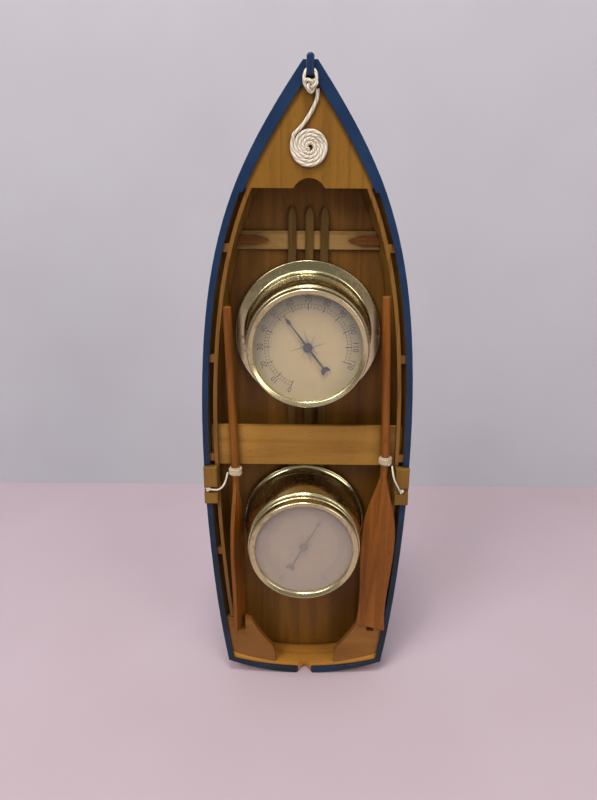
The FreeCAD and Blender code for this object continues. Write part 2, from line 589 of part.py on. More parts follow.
def make_barometer():
    """Aneroid movement: capsule, spring, rocking shaft, chain and pointer arbor."""
    x, z = BARO_X, BARO_Z
    make_instrument("barometer", x, z, BARO_FLANGE_R, BARO_ANGLE)
    low = SEAT + MOVEMENT_LOW
    plate_top = low + MOVEMENT_THICK
    base = disc(x, z, MOVEMENT_R, low, plate_top)
    base = base.cut(disc(x, z, 2.5 + SNUG, low - 1, plate_top + 1))
    pillars = []
    for a in (90, 210, 330):
        px = x + PILLAR_PITCH_R * math.cos(math.radians(a))
        pz = z + PILLAR_PITCH_R * math.sin(math.radians(a))
        pillar = disc(px, pz, PILLAR_R, SEAT + SHEET + SNUG, low - SNUG)
        pillars.append(pillar.fuse(disc(px, pz, 1.2, low - SNUG, plate_top)))
        base = base.cut(disc(px, pz, 1.2 + SNUG, low - 1, plate_top + 1))
    nodes["movement_pillars"] = pillars

    cap0 = plate_top + SNUG
    steps = 6
    waves = []
    for k in range(1, 2 * steps):
        r = CAPSULE_R - 2 - (CAPSULE_R - 6) * k / (2 * steps)
        waves.append((r, cap0 + CAPSULE_HIGH - 0.4 - (0.7 if k % 2 else 0.0)))
    crown = cap0 + CAPSULE_HIGH
    shell = [(0, cap0), (CAPSULE_R, cap0), (CAPSULE_R, crown), (CAPSULE_R - 2, crown)]
    capsule = turned(x, z, shell + waves + [(2.5, crown), (2.5, crown + 1.5), (0, crown + 1.5)])
    stud = disc(x, z, 2.5, low - 5, cap0)
    nodes["aneroid_capsule"] = capsule.fuse(stud).removeSplitter()
    sixths = [math.radians(60 * k) for k in range(6)]
    hexagon = [(x + 4.6 * math.cos(a), z + 4.6 * math.sin(a)) for a in sixths]
    nodes["capsule_nut"] = plate(hexagon, low - SNUG - 3, low - SNUG).cut(disc(x, z, 2.5 + SNUG, 0, 90))

    # broad C-shaped leaf spring, from its foot on the plate up and over the capsule
    top = crown + 1.5 + SNUG
    side = [(z - 33, cap0), (z - 22, cap0), (z - 22, cap0 + 1.2), (z - 30, cap0 + 1.2), (z - 31.5, cap0 + 3),
            (z - 31.5, top - 2), (z - 29.5, top), (z + 4, top), (z + 4, top + 1.3), (z - 30, top + 1.3),
            (z - 33, top - 1.6)]
    corners = [at(x - 6, h, zz) for zz, h in side]
    nodes["main_spring"] = Part.Face(Part.makePolygon(corners + corners[:1])).extrude(Vector(12, 0, 0))

    # rocking shaft on two posts, with the long arm that pulls the chain
    rock_h = SEAT + ROCKER_HIGH
    rock_z = z + ROCKER_Z
    posts = []
    for side in (-1, 1):
        px = x + side * (ROCKER_HALF - 2)
        post = box(px - 1, px + 1, cap0, rock_h + 2.6, rock_z - 3, rock_z + 3)
        bearing = Part.makeCylinder(STAFF_R + RUNNING, 60, at(x - 30, rock_h, rock_z), Vector(1, 0, 0))
        posts.append(post.cut(bearing))
    nodes["rocker_posts"] = posts
    shaft = Part.makeCylinder(STAFF_R, 2 * ROCKER_HALF, at(x - ROCKER_HALF, rock_h, rock_z), Vector(1, 0, 0))
    chain_x = x + DRUM_R + CHAIN_GAP + CHAIN_HALF
    chain_h = rock_h + ROCKER_ARM
    arm = box(chain_x - 1.2, chain_x + 1.2, rock_h, chain_h + 0.6, rock_z - 0.5, rock_z + 0.5)
    crank = box(x - 9, x - 6.6, rock_h - 0.6, rock_h + 0.6, rock_z - 6, rock_z)
    nodes["rocking_shaft"] = shaft.fuse(arm).fuse(crank).removeSplitter()

    # link from the spring's top leaf to the crank
    link = box(x - 5.6, x - 3.2, top + 1.3 + SNUG, top + 2.5, z - 2, rock_z - 9.5)
    link = link.fuse(box(x - 8.6, x - 3.2, top + 1.3 + SNUG, top + 2.5, rock_z - 9.5, rock_z - 7.4))
    nodes["spring_link"] = link.removeSplitter()

    # pointer arbor between the bridge and the dial
    bridge_h = SEAT + BRIDGE_HIGH
    posts_r = 20.0
    bridge = box(x - posts_r - 3, x + posts_r + 3, bridge_h, bridge_h + 1.5, z - 3, z + 3)
    for side in (-1, 1):
        bridge = bridge.fuse(disc(x + side * (posts_r + 1), z, 1.8, cap0, bridge_h))
    nodes["arbor_bridge"] = bridge.cut(disc(x, z, STAFF_R + RUNNING, 0, 90)).removeSplitter()
    arbor = disc(x, z, STAFF_R, bridge_h - 1.5, POINTER_H + POINTER_THICK + 1.0)
    arbor = arbor.fuse(disc(x, z, DRUM_R, chain_h - 2, chain_h + 2))
    arbor = arbor.fuse(disc(x, z, 2.0, POINTER_H - 0.8, POINTER_H))
    nodes["pointer_arbor"] = arbor.fuse(disc(x, z, 1.8, bridge_h + 1.8, bridge_h + 4.2)).removeSplitter()
    nodes["hairspring"] = spiral(x, z, bridge_h + 2.4, bridge_h + 3.6, 2.2, 8.0, 4.0, 0.3, 2.2).fuse(
        box(x + 9.6, x + 11.2, bridge_h + 1.5, bridge_h + 3.6, z - 1, z + 1))
    chain = box(chain_x - CHAIN_HALF, chain_x + CHAIN_HALF, chain_h - 0.3, chain_h + 0.3, z - 7, rock_z - 0.9)
    nodes["drive_chain"] = chain

    # setting screw, reached from behind through the board and the case's back
    set_z = z - 27.5
    clear = disc(x, set_z, 3.2, -2, SEAT + SHEET + 1)
    nodes["back_board"] = nodes["back_board"].cut(clear)
    nodes["barometer_case"] = nodes["barometer_case"].cut(clear)
    head = disc(x, set_z, 2.6, SEAT - 3, SEAT + SHEET + 3).cut(
        box(x - 3, x + 3, SEAT - 4, SEAT - 2, set_z - 0.4, set_z + 0.4))
    nodes["setting_screw"] = head.fuse(disc(x, set_z, 1.5, SEAT + SHEET + 3, plate_top)).removeSplitter()
    nodes["movement_plate"] = base.cut(disc(x, set_z, 1.5 + RUNNING, low - 1, plate_top + 1))
    slats = [slat.cut(disc(x, set_z, 3.2, 0, SEAT + 1)) for slat in nodes["floor_slats"]]
    nodes["floor_slats"] = slats


# ---- oars ------------------------------------------------------------------------------------------------
def oar(handle, kink, tip, roll):
    """Round loom from the handle's end to the collar, then a tapering neck that carries the blade."""
    handle, kink, tip = [at(*p) for p in (handle, kink, tip)]
    loom = kink - handle
    wood = Part.makeCylinder(SHAFT_R, loom.Length, handle, loom)
    ends = [e for e in wood.Edges if e.Closed and (e.CenterOfMass - handle).Length < 0.1]
    wood = wood.makeFillet(1.5, ends).fuse(Part.makeSphere(SHAFT_R + 0.05, kink))
    along = tip - kink
    long = along.Length
    along = along.normalize()
    wood = wood.fuse(Part.makeCone(SHAFT_R, 1.6, 0.62 * long, kink, along))
    right = [(SHAFT_R - 1.0, 0.08), (0.42 * BLADE_HALF, 0.17), (0.75 * BLADE_HALF, 0.27),
             (0.98 * BLADE_HALF, 0.38), (BLADE_HALF, 0.6), (0.93 * BLADE_HALF, 1.0)]
    right = [Vector(x, -BLADE_THICK / 2, -share * long) for x, share in right]
    left = [Vector(-p.x, p.y, p.z) for p in right]
    edges = [Part.makeLine(left[0], right[0]), curve_edge(right),
             Part.makeLine(right[-1], left[-1]), curve_edge(left[::-1])]
    blade = Part.Face(Part.Wire(edges)).extrude(Vector(0, BLADE_THICK, 0))
    rims = [e for e in blade.Edges if abs(e.CenterOfMass.y) > BLADE_THICK / 2 - 0.01
            and e.CenterOfMass.z < -5 - 0.08 * long]
    blade = blade.makeFillet(1.3, rims)
    blade.rotate(Vector(0, 0, 0), Vector(0, 0, 1), -roll)
    lean = FreeCAD.Rotation(Vector(0, 0, -1), along)
    blade.Placement = FreeCAD.Placement(kink, lean).multiply(blade.Placement)
    return wood.fuse(blade).removeSplitter()


def collar(wood, centre, along):
    """Thread wound round the shaft."""
    direction = Vector(*along).normalize()
    start = at(*centre) - direction * (COLLAR_LONG / 2)
    ring = Part.makeCylinder(COLLAR_R, COLLAR_LONG, start, direction)
    rims = [e for e in ring.Edges if e.Closed]
    return ring.makeFillet(1.2, rims).cut(wood)


OAR_H = THWART_TOP + SHAFT_R + 0.6            # the shafts lie on the thwart
PORT_OAR = [(SHAFT_R - 78.0, OAR_H, -107.0), (-70.3, OAR_H, -266.0), (-70.0, OAR_H, -453.0)]
STARBOARD_OAR = [(71.3, OAR_H - 1.2, -97.0), (76.9, OAR_H + 2.2, -257.0), (68.8, OAR_H + 8.2, -447.0)]
PORT_ROLL = 103                               # turn of each blade about its shaft
STARBOARD_ROLL = 18
PORT_COLLAR_Z = -271.0
STARBOARD_COLLAR_Z = -257.6


def make_oars():
    port = oar(*PORT_OAR, PORT_ROLL)
    nodes["port_oar"] = port
    nodes["port_oar_collar"] = collar(port, (-70.3, OAR_H, PORT_COLLAR_Z), (0, 0, -1))
    starboard = oar(*STARBOARD_OAR, STARBOARD_ROLL)
    nodes["starboard_oar"] = starboard
    middle = (76.9, OAR_H + 2.2, STARBOARD_COLLAR_Z)
    nodes["starboard_oar_collar"] = collar(starboard, middle, (-0.01, 0, -1))


# ---- cords ------------------------------------------------------------------------------------------------
def cord(name, route, r):
    """Tube along straight runs joined by tangent arcs, each as large as its two runs allow."""
    points = [at(*p) for p in route]
    edges = []
    start = points[0]
    radii = []
    for before, corner, after in zip(points, points[1:], points[2:]):
        one, two = (before - corner), (after - corner)
        turn = math.pi - one.getAngle(two)
        cut = 0.45 * min(one.Length, two.Length)
        radii.append(cut / math.tan(turn / 2))
        one.normalize()
        two.normalize()
        a, b = corner + one * cut, corner + two * cut
        bend = (one + two).normalize()
        depth = radii[-1] * (1 / math.cos(turn / 2) - 1)
        edges.append(Part.LineSegment(start, a).toShape())
        edges.append(Part.Arc(a, corner + bend * depth, b).toShape())
        start = b
    edges.append(Part.LineSegment(start, points[-1]).toShape())
    path = Part.Wire(edges)
    circle = Part.Wire(Part.makeCircle(r, points[0], points[1] - points[0]))
    tube = path.makePipeShell([circle], True, True)
    print("%s: length %.1f, least bend radius %.1f, volume over section x length %.4f" % (
        name, path.Length, min(radii), tube.Volume / (math.pi * r * r * path.Length)))
    nodes[name] = tube


DECK_H = TOP + ROPE_R + 0.1
PAINTER_ROUTE = [
    (6.0, DECK_H + 1.8, 72.5), (6.2, DECK_H + 0.6, 67.0), (4.2, DECK_H, 61.5), (0.8, DECK_H, 55.0),
    (-3.4, DECK_H, 48.6), (-8.4, DECK_H, 42.6), (-13.6, DECK_H, 38.2)]
PORT_LANYARD_ROUTE = [
    (-77.9, TOP - 0.8, -272.5), (-78.8, TOP + 2.0, -276.8), (-80.2, TOP + 5.4, -281.2),
    (-82.8, TOP + 7.6, -285.0), (-87.0, TOP + 7.6, -287.8), (-92.0, TOP + 6.6, -288.0),
    (-97.0, TOP + 6.2, -287.7)]
STARBOARD_LANYARD_ROUTE = [
    (83.6, TOP + 4.0, -262.0), (83.8, TOP + 7.6, -266.4), (84.8, TOP + 9.6, -271.6),
    (86.8, TOP + 9.8, -276.8), (89.4, TOP + 9.6, -281.6), (91.4, TOP + 8.0, -286.0),
    (93.6, TOP + 6.2, -288.4)]


def make_cords():
    """Lanyards of the oars, and the painter from the stem head down to its flat coil."""
    cord("port_lanyard", PORT_LANYARD_ROUTE, THREAD_R)
    cord("starboard_lanyard", STARBOARD_LANYARD_ROUTE, THREAD_R)
    cord("painter_line", PAINTER_ROUTE, ROPE_R)
    coil = disc(0, COIL_Z, COIL_R, TOP + 0.1, TOP + 0.1 + 2 * ROPE_R)
    rims = [e for e in coil.Edges if e.Closed]
    nodes["painter_coil"] = coil.makeFillet(1.4, rims).cut(nodes["painter_line"])
    low = RAIL + 2 * SNUG
    knot = disc(0, KNOT_Z + 5.0, 5.8, low, low + 3.0).fuse(disc(0.4, KNOT_Z, 4.2, low, low + 4.6))
    reach = STEM_HALF + SNUG
    post = box(-reach, reach, TOP, STEM_HEAD_TOP + 1, STEM_HEAD_Z[0] - SNUG, STEM_HEAD_Z[1])
    nodes["painter_knot"] = knot.cut(post).removeSplitter()


make_shell()
make_capping()
make_foredeck()
make_inwales()
make_floor()
make_knees()
make_rowlocks()
make_hanger()
make_thermometer()
make_barometer()
make_oars()
make_cords()

os.makedirs("parts", exist_ok=True)
for node_name, node in sorted(nodes.items()):
    solids = []
    for piece in node if isinstance(node, list) else [node]:
        solids += piece.Solids
    shape = solids[0] if len(solids) == 1 else Part.makeCompound(solids)
    if not shape.isValid():
        print("not valid:", node_name)
    print("%-26s solids %d  volume %.0f" % (node_name, len(solids), shape.Volume))
    shape.exportStep("parts/%s.step" % node_name)
print(len(nodes), "nodes")
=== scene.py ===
"""A ship barometer: a small open rowing boat of varnished wood hung bow up, with a thermometer and an aneroid
barometer in spun brass cases, two oars, and a painter of cotton line coiled on the foredeck.

Metres. +X is starboard, +Z is towards the bow, +Y goes into the wall, so a height h above the wall is Y = -h.
"""

import logging
import math
from dataclasses import dataclass
from enum import Enum
from typing import Any, Sequence

import bpy
import numpy as np
from mathutils import Matrix, Vector


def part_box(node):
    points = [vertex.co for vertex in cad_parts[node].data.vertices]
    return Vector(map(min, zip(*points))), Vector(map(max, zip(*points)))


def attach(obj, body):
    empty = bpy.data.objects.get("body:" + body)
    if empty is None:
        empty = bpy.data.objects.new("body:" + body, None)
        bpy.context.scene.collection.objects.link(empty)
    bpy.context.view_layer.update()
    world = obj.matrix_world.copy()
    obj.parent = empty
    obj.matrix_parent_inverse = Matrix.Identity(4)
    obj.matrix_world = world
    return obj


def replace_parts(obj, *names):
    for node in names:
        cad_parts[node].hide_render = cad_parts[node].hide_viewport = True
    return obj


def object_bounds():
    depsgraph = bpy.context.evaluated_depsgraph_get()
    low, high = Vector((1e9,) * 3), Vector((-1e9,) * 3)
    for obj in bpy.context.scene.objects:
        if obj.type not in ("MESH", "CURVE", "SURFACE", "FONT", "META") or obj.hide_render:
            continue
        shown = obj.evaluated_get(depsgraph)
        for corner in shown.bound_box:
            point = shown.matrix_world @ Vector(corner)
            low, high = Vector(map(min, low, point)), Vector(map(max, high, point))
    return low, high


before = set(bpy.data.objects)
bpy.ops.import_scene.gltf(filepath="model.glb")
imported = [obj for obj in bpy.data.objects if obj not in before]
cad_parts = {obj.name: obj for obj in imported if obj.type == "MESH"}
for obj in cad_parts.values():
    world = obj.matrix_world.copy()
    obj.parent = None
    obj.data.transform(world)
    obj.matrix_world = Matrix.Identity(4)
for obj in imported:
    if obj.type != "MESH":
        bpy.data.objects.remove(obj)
CAD_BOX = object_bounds()

MM = 0.001
LOG = logging.getLogger("ship_barometer")

Array = np.ndarray
Point = tuple[float, float, float]


# ---- small tools ---------------------------------------------------------------------------------


def linear(colour: str) -> tuple[float, float, float, float]:
    """Turns an sRGB hex colour to linear light: c / 12.92 when dark, ((c + 0.055) / 1.055) ** 2.4 above.

    Args:
        colour: Six hex digits.

    Returns:
        Linear red, green and blue, and an alpha of 1.
    """
    srgb = np.array([int(colour[i : i + 2], 16) for i in (0, 2, 4)]) / 255.0
    lit = np.where(srgb <= 0.04045, srgb / 12.92, ((srgb + 0.055) / 1.055) ** 2.4)
    return (*lit.tolist(), 1.0)


def per_metre(size_mm: float) -> float:
    """Texture scale at which one pattern cell is size_mm wide."""
    return 1.0 / (size_mm * MM)


def add(tree: Any, kind: str, settings: dict | None = None, inputs: dict | None = None) -> Any:
    """Adds one shader node with its settings and its links.

    Args:
        tree: The node tree.
        kind: The node's type without its ShaderNode prefix.
        settings: Attributes of the node; "stops" fills a colour ramp from (position, hex colour or grey).
        inputs: Socket name or number to a value, or to the output socket that feeds it.

    Returns:
        The new node.
    """
    node = tree.nodes.new("ShaderNode" + kind)
    for key, value in (settings or {}).items():
        if key != "stops":
            setattr(node, key, value)
            continue
        elements = node.color_ramp.elements
        while len(elements) < len(value):
            elements.new(1.0)
        for element, (place, tone) in zip(elements, value):
            element.position = place
            element.color = linear(tone) if isinstance(tone, str) else (tone, tone, tone, 1.0)
    for key, value in (inputs or {}).items():
        if isinstance(value, bpy.types.NodeSocket):
            tree.links.new(value, node.inputs[key])
        else:
            node.inputs[key].default_value = value
    return node


def blank(name: str) -> tuple[Any, Any]:
    """Starts a material with an empty node tree.

    Args:
        name: The material's name.

    Returns:
        The material and its tree.
    """
    material = bpy.data.materials.new(name)
    material.use_nodes = True
    material.node_tree.nodes.clear()
    return material, material.node_tree


def close(tree: Any, shader: Any) -> None:
    """Feeds a shader to the material's output."""
    add(tree, "OutputMaterial", {}, {"Surface": shader})


def mesh_piece(name: str, points: Array, faces: Array | Sequence, body: str, material: Any,
               smooth: bool = True) -> Any:
    """Makes a piece from its points and faces, rides it on a body and dresses it.

    Args:
        name: The piece's name.
        points: N x 3 places in the row frame, in metres.
        faces: Corner numbers of each face, an array of quads or a list.
        body: The CAD body it moves with.
        material: Its finish.
        smooth: Whether its faces are shaded smooth.

    Returns:
        The piece's object.
    """
    data = bpy.data.meshes.new(name)
    rows = faces.tolist() if isinstance(faces, np.ndarray) else faces
    data.from_pydata(points.tolist(), [], rows)
    data.polygons.foreach_set("use_smooth", np.full(len(data.polygons), smooth))
    data.update()
    return piece(name, data, body, material)


def piece(name: str, data: Any, body: str, material: Any) -> Any:
    """Makes an object of finished mesh or curve data that rides on a body.

    Args:
        name: The piece's name.
        data: Its mesh or curve, already in place.
        body: The CAD body it moves with.
        material: Its finish.

    Returns:
        The piece's object.
    """
    data.materials.clear()
    data.materials.append(material)
    made = bpy.data.objects.new(name, data)
    bpy.context.scene.collection.objects.link(made)
    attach(made, body)
    LOG.info("%s rides on %s", name, body)
    return made


def grid_faces(rows: int, columns: int, close_rows: bool, close_columns: bool) -> Array:
    """Quads between neighbours of a rows x columns grid of points, each wrapped round where it closes.

    Args:
        rows: Points along the first parameter.
        columns: Points along the second parameter.
        close_rows: Whether the last row joins the first.
        close_columns: Whether the last column joins the first.

    Returns:
        M x 4 corner numbers.
    """
    i = np.arange(rows if close_rows else rows - 1)[:, None]
    j = np.arange(columns if close_columns else columns - 1)[None, :]
    up, across = (i + 1) % rows, (j + 1) % columns
    corners = [i * columns + j, i * columns + across, up * columns + across, up * columns + j]
    return np.stack(np.broadcast_arrays(*corners), axis=-1).reshape(-1, 4)


def eased(corners: Sequence[tuple[float, float, float]], steps: int = 6) -> Array:
    """Profile through given corners, each eased by its own radius.

    Each corner is replaced by a curve (1 - t)^2 a + 2 t (1 - t) corner + t^2 b, where a and b lie on its two
    runs, the radius away or at most 0.4 of the run. One more point on each run, a little past a and b, keeps
    the flats flat when they are shaded smooth.

    Args:
        corners: (distance from the axis, height, easing), in millimetres.
        steps: Points of each eased corner.

    Returns:
        N x 2 distances and heights, in metres.
    """
    table = np.array(corners, float)
    spot, ease = table[:, :2], table[:, 2]
    done = [spot[0]]
    t = np.linspace(0.0, 1.0, steps)[:, None]
    for before, corner, after, radius in zip(spot, spot[1:], spot[2:], ease[1:]):
        if radius <= 0:
            done.append(corner)
            continue
        one, two = before - corner, after - corner
        reach = min(radius, 0.4 * np.linalg.norm(one), 0.4 * np.linalg.norm(two))
        one, two = one / np.linalg.norm(one) * reach, two / np.linalg.norm(two) * reach
        a, b = corner + one, corner + two
        done.append(corner + 1.15 * one)
        done.extend((1 - t) ** 2 * a + 2 * t * (1 - t) * corner + t ** 2 * b)
        done.append(corner + 1.15 * two)
    done.append(spot[-1])
    return np.array(done) * MM


def lathe(profile: Array, centre: tuple[float, float], segments: int) -> tuple[Array, list]:
    """Surface turned about an axis square to the wall.

    A point at distance r, height h and turn a stands at (x + r sin a, -h, z + r cos a). A profile that starts
    or ends on the axis is closed by one point there; any other profile closes on itself.

    Args:
        profile: N x 2 distances and heights in metres, running outwards over the front.
        centre: The axis in X and Z.
        segments: Steps round the axis.

    Returns:
        Points and faces.
    """
    a = np.linspace(0.0, 2 * np.pi, segments, endpoint=False)
    on_axis = profile[:, 0] < 1e-7
    ring = profile[~on_axis]
    r, h = ring[:, 0][:, None], ring[:, 1][:, None]
    points = np.stack([centre[0] + r * np.sin(a), -h + 0 * a, centre[1] + r * np.cos(a)], axis=-1).reshape(-1, 3)
    closed = not on_axis.any()
    faces = grid_faces(len(ring), segments, closed, True).tolist()
    step = np.arange(segments)
    for end, row in ((0, 0), (-1, len(ring) - 1)):
        if not on_axis[end]:
            continue
        pole = len(points)
        points = np.vstack([points, [[centre[0], -profile[end, 1], centre[1]]]])
        first, second = row * segments + step, row * segments + (step + 1) % segments
        fan = np.stack([first, second, np.full(segments, pole)], axis=-1)
        faces += (fan if end == 0 else fan[:, ::-1]).tolist()
    return points, facing_out(points, faces)


def facing_out(points: Array, faces: list) -> list:
    """Turns a closed surface's faces round if they look inwards.

    The volume is the sum of a . (b x c) / 6 over a fan of triangles; it is negative when they do.

    Args:
        points: N x 3 points.
        faces: Corner numbers of each face.

    Returns:
        The faces, all looking outwards.
    """
    fans = np.array([(row[0], row[k], row[k + 1]) for row in faces for k in range(1, len(row) - 1)])
    a, b, c = points[fans[:, 0]], points[fans[:, 1]], points[fans[:, 2]]
    volume = np.einsum("ij,ij->i", a, np.cross(b, c)).sum()
    return faces if volume > 0 else [row[::-1] for row in faces]


class ThreadMesh:
    """Mesh of one or more lengths of round thread, with a UV map that runs along and round them."""

    def __init__(self, radius: float, sides: int) -> None:
        """Starts an empty mesh.

        Args:
            radius: The thread's radius in metres.
            sides: Points round it.
        """
        self.radius = radius
        self.sides = sides
        self.points: list[Array] = []
        self.faces: list[list[int]] = []
        self.uv: list[Array] = []
        self.count = 0

    def lay(self, line: Array, closed: bool = False) -> None:
        """Adds a length of thread along a line.

        At each point the line's direction d is the difference of its neighbours. The first cross direction u
        is made square to d and carried along, each time with its part along d taken out, and v = d x u. A
        point of the surface is the line's point + radius (cos b u + sin b v). U counts metres along the line,
        and V is b / 2 pi.

        Args:
            line: N x 3 points in metres.
            closed: Whether the line's end joins its start.
        """
        d = np.roll(line, -1, axis=0) - np.roll(line, 1, axis=0) if closed else np.gradient(line, axis=0)
        d = d / np.linalg.norm(d, axis=1, keepdims=True)
        u = np.zeros_like(line)
        carried = np.cross(d[0], [0.31, 0.87, 0.38])
        for k, along in enumerate(d):
            carried = carried - along * (carried @ along)
            carried = carried / np.linalg.norm(carried)
            u[k] = carried
        v = np.cross(d, u)
        b = np.linspace(0.0, 2 * np.pi, self.sides, endpoint=False)[None, :, None]
        skin = line[:, None, :] + self.radius * (np.cos(b) * u[:, None, :] + np.sin(b) * v[:, None, :])
        rows = len(line)
        grid = grid_faces(rows, self.sides, closed, True)
        run = np.concatenate([[0.0], np.linalg.norm(np.diff(line, axis=0), axis=1).cumsum()])
        step = np.append(run, run[-1] + np.linalg.norm(line[0] - line[-1]))
        i = np.arange(rows if closed else rows - 1).repeat(self.sides)
        j = np.tile(np.arange(self.sides), rows if closed else rows - 1)
        corner_u = np.stack([step[i], step[i], step[i + 1], step[i + 1]], axis=-1)
        corner_v = np.stack([j, j + 1, j + 1, j], axis=-1) / self.sides
        faces = (grid + self.count).tolist()
        uv = [np.stack([corner_u, corner_v], axis=-1).reshape(-1, 2)]
        if not closed:
            first = np.arange(self.sides)
            last = first + (rows - 1) * self.sides
            faces += [(first[::-1] + self.count).tolist(), (last + self.count).tolist()]
            uv += [np.zeros((self.sides, 2)), np.full((self.sides, 2), step[-2])]
        self.points.append(skin.reshape(-1, 3))
        self.faces += faces
        self.uv += uv
        self.count += rows * self.sides

    def data(self, name: str) -> Any:
        """Makes the mesh.

        Args:
            name: The mesh's name.

        Returns:
            The mesh, smooth, with its UV map.
        """
        made = bpy.data.meshes.new(name)
        made.from_pydata(np.vstack(self.points).tolist(), [], self.faces)
        layer = made.uv_layers.new(name="UVMap")
        layer.data.foreach_set("uv", np.vstack(self.uv).astype(np.float32).ravel())
        made.polygons.foreach_set("use_smooth", np.ones(len(made.polygons), bool))
        made.update()
        return made


def merged(parts: Sequence[tuple[Array, Sequence]]) -> tuple[Array, list]:
    """Puts several sets of points and faces into one.

    Args:
        parts: Points and faces of each.

    Returns:
        All points, and all faces numbered to match.
    """
    points, faces, count = [], [], 0
    for some, rows in parts:
        points.append(some)
        faces += [[int(c) + count for c in row] for row in rows]
        count += len(some)
    return np.vstack(points), faces


# ---- finishes --------------------------------------------------------------------------------------


class Grain(Enum):
    """Which way a board's grain runs, as the stretch of a pattern along X, Y and Z."""

    ACROSS = (0.05, 1.0, 1.0)
    ALONG = (1.0, 1.0, 0.05)


def worn_edges(tree: Any, radius_mm: float, patch_mm: float) -> Any:
    """Mask of the edges that hands and dust reach first, which also paints a highlight along them.

    The bevelled normal is compared with the true one; their product falls below 1 near an edge. It is broken
    up by noise, so that the wear comes and goes.

    Args:
        tree: The node tree.
        radius_mm: How far from the edge the wear reaches.
        patch_mm: The size of the worn patches.

    Returns:
        The mask's socket, 0 in the open and 1 on a worn edge.
    """
    place = add(tree, "TexCoord").outputs["Object"]
    bevel = add(tree, "Bevel", {"samples": 4}, {"Radius": radius_mm * MM}).outputs["Normal"]
    plain = add(tree, "NewGeometry").outputs["Normal"]
    turn = add(tree, "VectorMath", {"operation": "DOT_PRODUCT"}, {0: bevel, 1: plain}).outputs["Value"]
    edge = add(tree, "MapRange", {}, {"Value": turn, "From Min": 0.99, "From Max": 0.86}).outputs["Result"]
    patch = add(tree, "TexNoise", {}, {"Vector": place, "Scale": per_metre(patch_mm), "Detail": 4.0})
    broken = add(tree, "MapRange", {}, {"Value": patch.outputs["Fac"], "From Min": 0.42, "From Max": 0.62})
    return add(tree, "Math", {"operation": "MULTIPLY"}, {0: edge, 1: broken.outputs["Result"]}).outputs["Value"]


def grime(tree: Any, reach_mm: float) -> Any:
    """Mask of the corners, from ambient occlusion: painted shade where neighbours are close, which also stands for
    stain and dust collected there. It is 1 where much is close by and 0 in the open.

    Args:
        tree: The node tree.
        reach_mm: How far a neighbour is felt.

    Returns:
        The mask's socket.
    """
    # ambient occlusion: darkest where parts stand close together, so the mask paints shade
    near = add(tree, "AmbientOcclusion", {"samples": 6}, {"Distance": reach_mm * MM}).outputs["AO"]
    return add(tree, "MapRange", {}, {"Value": near, "From Min": 0.85, "From Max": 0.25}).outputs["Result"]


